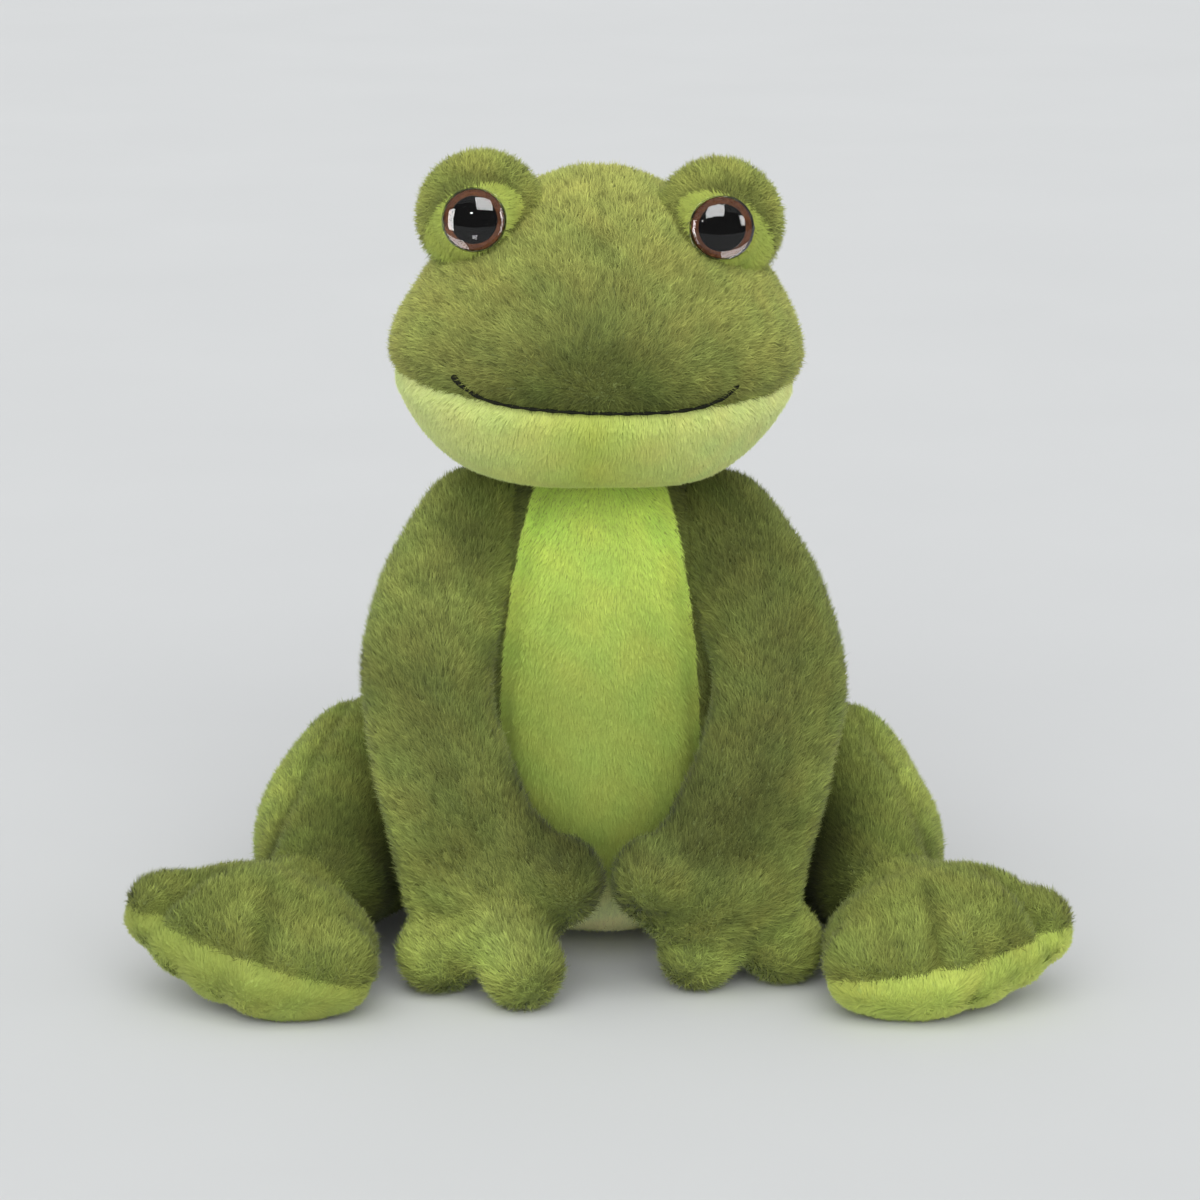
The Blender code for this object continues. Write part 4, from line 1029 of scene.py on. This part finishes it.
for side_name, side in SIDES:
    level = math.cos(MOUND_LOOK_UP)
    look = Vector(
        (
            side * math.sin(MOUND_LOOK_OUT) * level,
            -math.cos(MOUND_LOOK_OUT) * level,
            math.sin(MOUND_LOOK_UP),
        )
    )
    across = Vector((0, 0, 1)).cross(look).normalized()
    turn = Matrix((across, look.cross(across), look)).transposed().to_4x4()
    middle = Vector(to_side(MOUND_PLACE, side)) * MM
    mound_turn = head_turn @ Matrix.Translation(middle) @ turn
    mound_form = bmesh.new()
    halves = [(size - MOUND_INSET) * MM for size in MOUND_HALVES]
    lobe(mound_form, Vector((side * 0.8, 0.4, 0)) * MM, halves)
    bmesh.ops.transform(mound_form, matrix=mound_turn, verts=mound_form.verts)
    mound = stuffed(f"mound_stuffing_{side_name}", mound_form, 1.8 * MM, 2)
    eye_aside = EYE_ASIDE[side_name]
    mound_way, mound_place = np.array(mound_turn.to_3x3()), np.array(mound_turn.translation)

    def in_mound(points):
        """Points as the mound carries them, its third axis the way the eye looks."""
        return (points - mound_place) @ mound_way

    def from_eye(held):
        """How far from the eye's axis a point of the mound is."""
        return np.hypot(held[:, 0] - eye_aside, held[:, 1] + EYE_LOW)

    held = in_mound(points_of(mound))
    flat = rise(from_eye(held), EYE_BED_ROUND, EYE_BED_ROUND - 3 * MM) * (held[:, 2] > 0)
    held[:, 2] += flat * (EYE_BED - held[:, 2])
    placed = held @ mound_way.T + mound_place
    mound.data.vertices.foreach_set("co", placed.astype(np.float32).ravel())
    mound.data.update()
    mound.data.materials.append(dark_cloth)
    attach(mound, "head")
    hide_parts(f"mound_{side_name}_fibre")
    EYES[side_name] = mound_turn @ Matrix.Translation(Vector((eye_aside, -EYE_LOW, 0)))
    slant = -side * ALMOND_SLANT

    def almond(points):
        """How far inside the light almond a point is."""
        held = in_mound(points)
        x, y = held[:, 0], held[:, 1] + EYE_LOW
        long = (x * math.cos(slant) + y * math.sin(slant) - side * ALMOND_OUTWARD) / ALMOND_HALF_LONG
        short = (-x * math.sin(slant) + y * math.cos(slant)) / ALMOND_HALF_SHORT
        inside = (1 - np.hypot(long, short)) * ALMOND_HALF_SHORT
        return np.where(held[:, 2] > 5 * MM, inside, -9 * MM)

    def off_eye(points, room):
        held = in_mound(points)
        return (from_eye(held) > EYE_CLEAR - room) | (held[:, 2] < 0)

    def hood_grows(points, out, room):
        return (almond(points) < room) & off_eye(points, room)

    def patch_grows(points, out, room):
        return (almond(points) > -room) & off_eye(points, room)

    def hood_comb(points, out):
        """Back from the eye over the mound."""
        spread = unit(points - mound_place) * 0.4
        return spread - mound_way[:, 2] * 0.8 + np.array((0, 0, -0.15))

    def hood_colour(points, out):
        held = in_mound(points)
        # Painted shade on the hood near the eye
        near = rise(np.hypot(held[:, 0], held[:, 1]), 17 * MM, 11 * MM) * (held[:, 2] > 0)
        return linear(152, 160, 80) * (1 - 0.42 * near[:, None])

    def patch_colour(points, out):
        return np.tile(linear(172, 185, 88), (len(points), 1))

    name = f"eye_hood_pile_{side_name}"
    hood = pile(name, mound, dark_pile, hood_grows, hood_colour, hood_comb, MIDDLING)
    name = f"eye_patch_pile_{side_name}"
    patch = pile(name, mound, light_pile, patch_grows, patch_colour, hood_comb, **PATCH_PILE)
    for cover, node, slot in ((hood, "eye_hood", "dark_plush"), (patch, "eye_patch", "light_plush")):
        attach(cover, "head")
        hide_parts(f"{node}_{side_name}")

# Safety eyes: a clear domed cap over a brown ring and a black pupil, in one moulding with
# the ribbed post that a nylon washer locks behind the cloth.
EYE_SEAT = 19.6
CAP_RADIUS, CAP_WALL, CAP_RIM, CAP_DOME = 10.2, 0.7, 2.1, 3.5
clear, clear_shader = finish_of("clear_acrylic", (250, 250, 250), 0.02)
clear_shader.inputs["Transmission Weight"].default_value = 1
clear_shader.inputs["IOR"].default_value = 1.4
bumped(clear, clear_shader, speckle(clear, 200, 1), 0.02, 0.1 * MM)
iris, iris_shader = finish_of("brown_iris", (92, 46, 30), 0.5)
tinted(iris, iris_shader, speckle(iris, 900, 4), (70, 40, 24), (100, 62, 40))
pupil, pupil_shader = finish_of("black_pupil", (4, 4, 4), 0.3)
tinted(pupil, pupil_shader, speckle(pupil, 500, 2), (3, 3, 3), (5, 5, 5))
for matt in (iris_shader, pupil_shader):
    matt.inputs["Specular IOR Level"].default_value = 0
black_plastic, black_shader = finish_of("black_plastic", (14, 14, 14), 0.35)
bumped(black_plastic, black_shader, speckle(black_plastic, 1800, 2), 0.1, 0.05 * MM)
tinted(black_plastic, black_shader, speckle(black_plastic, 300, 2), (10, 10, 10), (18, 18, 18))
nylon, nylon_shader = finish_of("white_nylon", (230, 230, 224), 0.5)
tinted(nylon, nylon_shader, speckle(nylon, 300, 2), (224, 224, 218), (234, 234, 229))


def turned(name, outline, closed, place, finish):
    """A piece turned on the eye's axis from an outline of radius and height."""
    form = bmesh.new()
    verts = [form.verts.new((radius * MM, 0, height * MM)) for radius, height in outline]
    edges = [form.edges.new(pair) for pair in zip(verts, verts[1:])]
    if closed:
        edges.append(form.edges.new((verts[-1], verts[0])))
    bmesh.ops.spin(
        form,
        geom=verts + edges,
        cent=(0, 0, 0),
        axis=(0, 0, 1),
        angle=2 * math.pi,
        steps=48,
        use_merge=True,
    )
    bmesh.ops.remove_doubles(form, verts=form.verts, dist=0.005 * MM)
    bmesh.ops.recalc_face_normals(form, faces=form.faces)
    bmesh.ops.transform(form, matrix=place, verts=form.verts)
    mesh = bpy.data.meshes.new(name)
    form.to_mesh(mesh)
    form.free()
    made = bpy.data.objects.new(name, mesh)
    scene.collection.objects.link(made)
    made.data.materials.append(finish)
    made.data.shade_smooth()
    made.data.set_sharp_from_angle(angle=math.radians(40))
    return made


cap_turns = [math.radians(turn) for turn in range(0, 91, 6)]
cap_dome = [(CAP_RADIUS * math.sin(t), CAP_RIM + CAP_DOME * math.cos(t)) for t in cap_turns]
cap_inside = CAP_RADIUS - CAP_WALL
cap_foot = [(CAP_RADIUS, 0.3), (9.9, 0), (cap_inside, 0), (cap_inside, CAP_RIM), (0, CAP_RIM)]
ring_outline = [(9.0, 1.8), (9.0, 1.3), (7.2, 1.3), (7.2, 1.8)]
dot_outline = [(0, 1.85), (7.0, 1.85), (7.1, 1.75), (7.1, 1.3), (0, 1.3)]

for side_name, side in SIDES:
    seat = EYES[side_name] @ Matrix.Translation(Vector((0, 0, EYE_SEAT)) * MM)
    lens = turned(f"eye_cap_{side_name}", [*cap_dome, *cap_foot], False, seat, clear)
    ring = turned(f"eye_ring_{side_name}", ring_outline, True, seat, iris)
    dot = turned(f"eye_dot_{side_name}", dot_outline, False, seat, pupil)
    for piece, node, slot in (
        (lens, "eye_lens", "clear_acrylic"),
        (ring, "eye_iris", "iris_brown"),
        (dot, "eye_pupil", "black_plastic"),
    ):
        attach(piece, "head")
        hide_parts(f"{node}_{side_name}")
    for node, finish in ((f"eye_post_{side_name}", black_plastic), (f"eye_washer_{side_name}", nylon)):
        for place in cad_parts[node].material_slots:
            place.material = finish

# Mouth: black embroidery thread in a backstitch along the seam between face and chin, its
# ends turned up into the cheeks.
SMILE_HALF = 44
SMILE_LIFT = 6.5
SMILE_STEPS = 120
STITCH_STEPS = 8
THREAD_HALF, STITCH_SWELL, END_SWELL = 0.52, 0.12, 0.4
CHEEK_HALF_WIDTH, CHEEK_HALF_DEPTH, CHEEK_AHEAD = 66.5, 59.1, 22.5
thread_finish, thread_shader = finish_of("black_thread", (20, 22, 12), 0.9)
tinted(thread_finish, thread_shader, speckle(thread_finish, 1200, 2), (14, 16, 8), (30, 33, 17))
bumped(thread_finish, thread_shader, speckle(thread_finish, 3000, 2), 0.5, 0.2 * MM)
thread_shader.inputs["Specular IOR Level"].default_value = 0.1
smile = bmesh.new()
smile_points = []
head_heights, head_widths, head_depths, head_aheads = zip(*HEAD[::-1])
for count in range(SMILE_STEPS + 1):
    share = 2 * count / SMILE_STEPS - 1
    x = share * SMILE_HALF
    lift = SMILE_LIFT * abs(share) ** 7
    cheek_y = -CHEEK_AHEAD - CHEEK_HALF_DEPTH * math.sqrt(1 - (x / CHEEK_HALF_WIDTH) ** 2)
    height = LIP_HEIGHT + (LIP_AHEAD + cheek_y) * math.tan(JAW_RISE) + lift
    wide = np.interp(height, head_heights, head_widths)
    deep = np.interp(height, head_heights, head_depths)
    ahead = np.interp(height, head_heights, head_aheads)
    y = -ahead - deep * math.sqrt(max(0, 1 - (x / wide) ** 2))
    smile_points.append(head_turn @ (Vector((x, y + 1.5, height)) * MM))
ring_verts, ring_edges = [], []
for count, place in enumerate(smile_points):
    course = smile_points[min(count + 1, SMILE_STEPS)] - smile_points[max(count - 1, 0)]
    turn = course.to_track_quat("Z", "Y").to_matrix().to_4x4()
    swell = STITCH_SWELL * math.sin(count * 2 * math.pi / STITCH_STEPS)
    swell = swell + END_SWELL * abs(2 * count / SMILE_STEPS - 1) ** 8
    at_place = Matrix.Translation(place) @ turn
    radius = (THREAD_HALF + swell) * MM
    made = bmesh.ops.create_circle(smile, segments=10, radius=radius, matrix=at_place)
    ring_verts.append(made["verts"])
    both_ways = [edge for vert in made["verts"] for edge in vert.link_edges]
    ring_edges.append(list(dict.fromkeys(both_ways)))
for one, two in zip(ring_edges, ring_edges[1:]):
    bmesh.ops.bridge_loops(smile, edges=one + two)
bmesh.ops.contextual_create(smile, geom=ring_verts[0])
bmesh.ops.contextual_create(smile, geom=ring_verts[-1])
bmesh.ops.recalc_face_normals(smile, faces=smile.faces)
smile_mesh = bpy.data.meshes.new("mouth_stitches")
smile.to_mesh(smile_mesh)
smile.free()
mouth = bpy.data.objects.new("mouth_stitches", smile_mesh)
scene.collection.objects.link(mouth)
mouth.data.materials.append(thread_finish)
mouth.data.shade_smooth()
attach(mouth, "head")
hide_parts("mouth_thread")
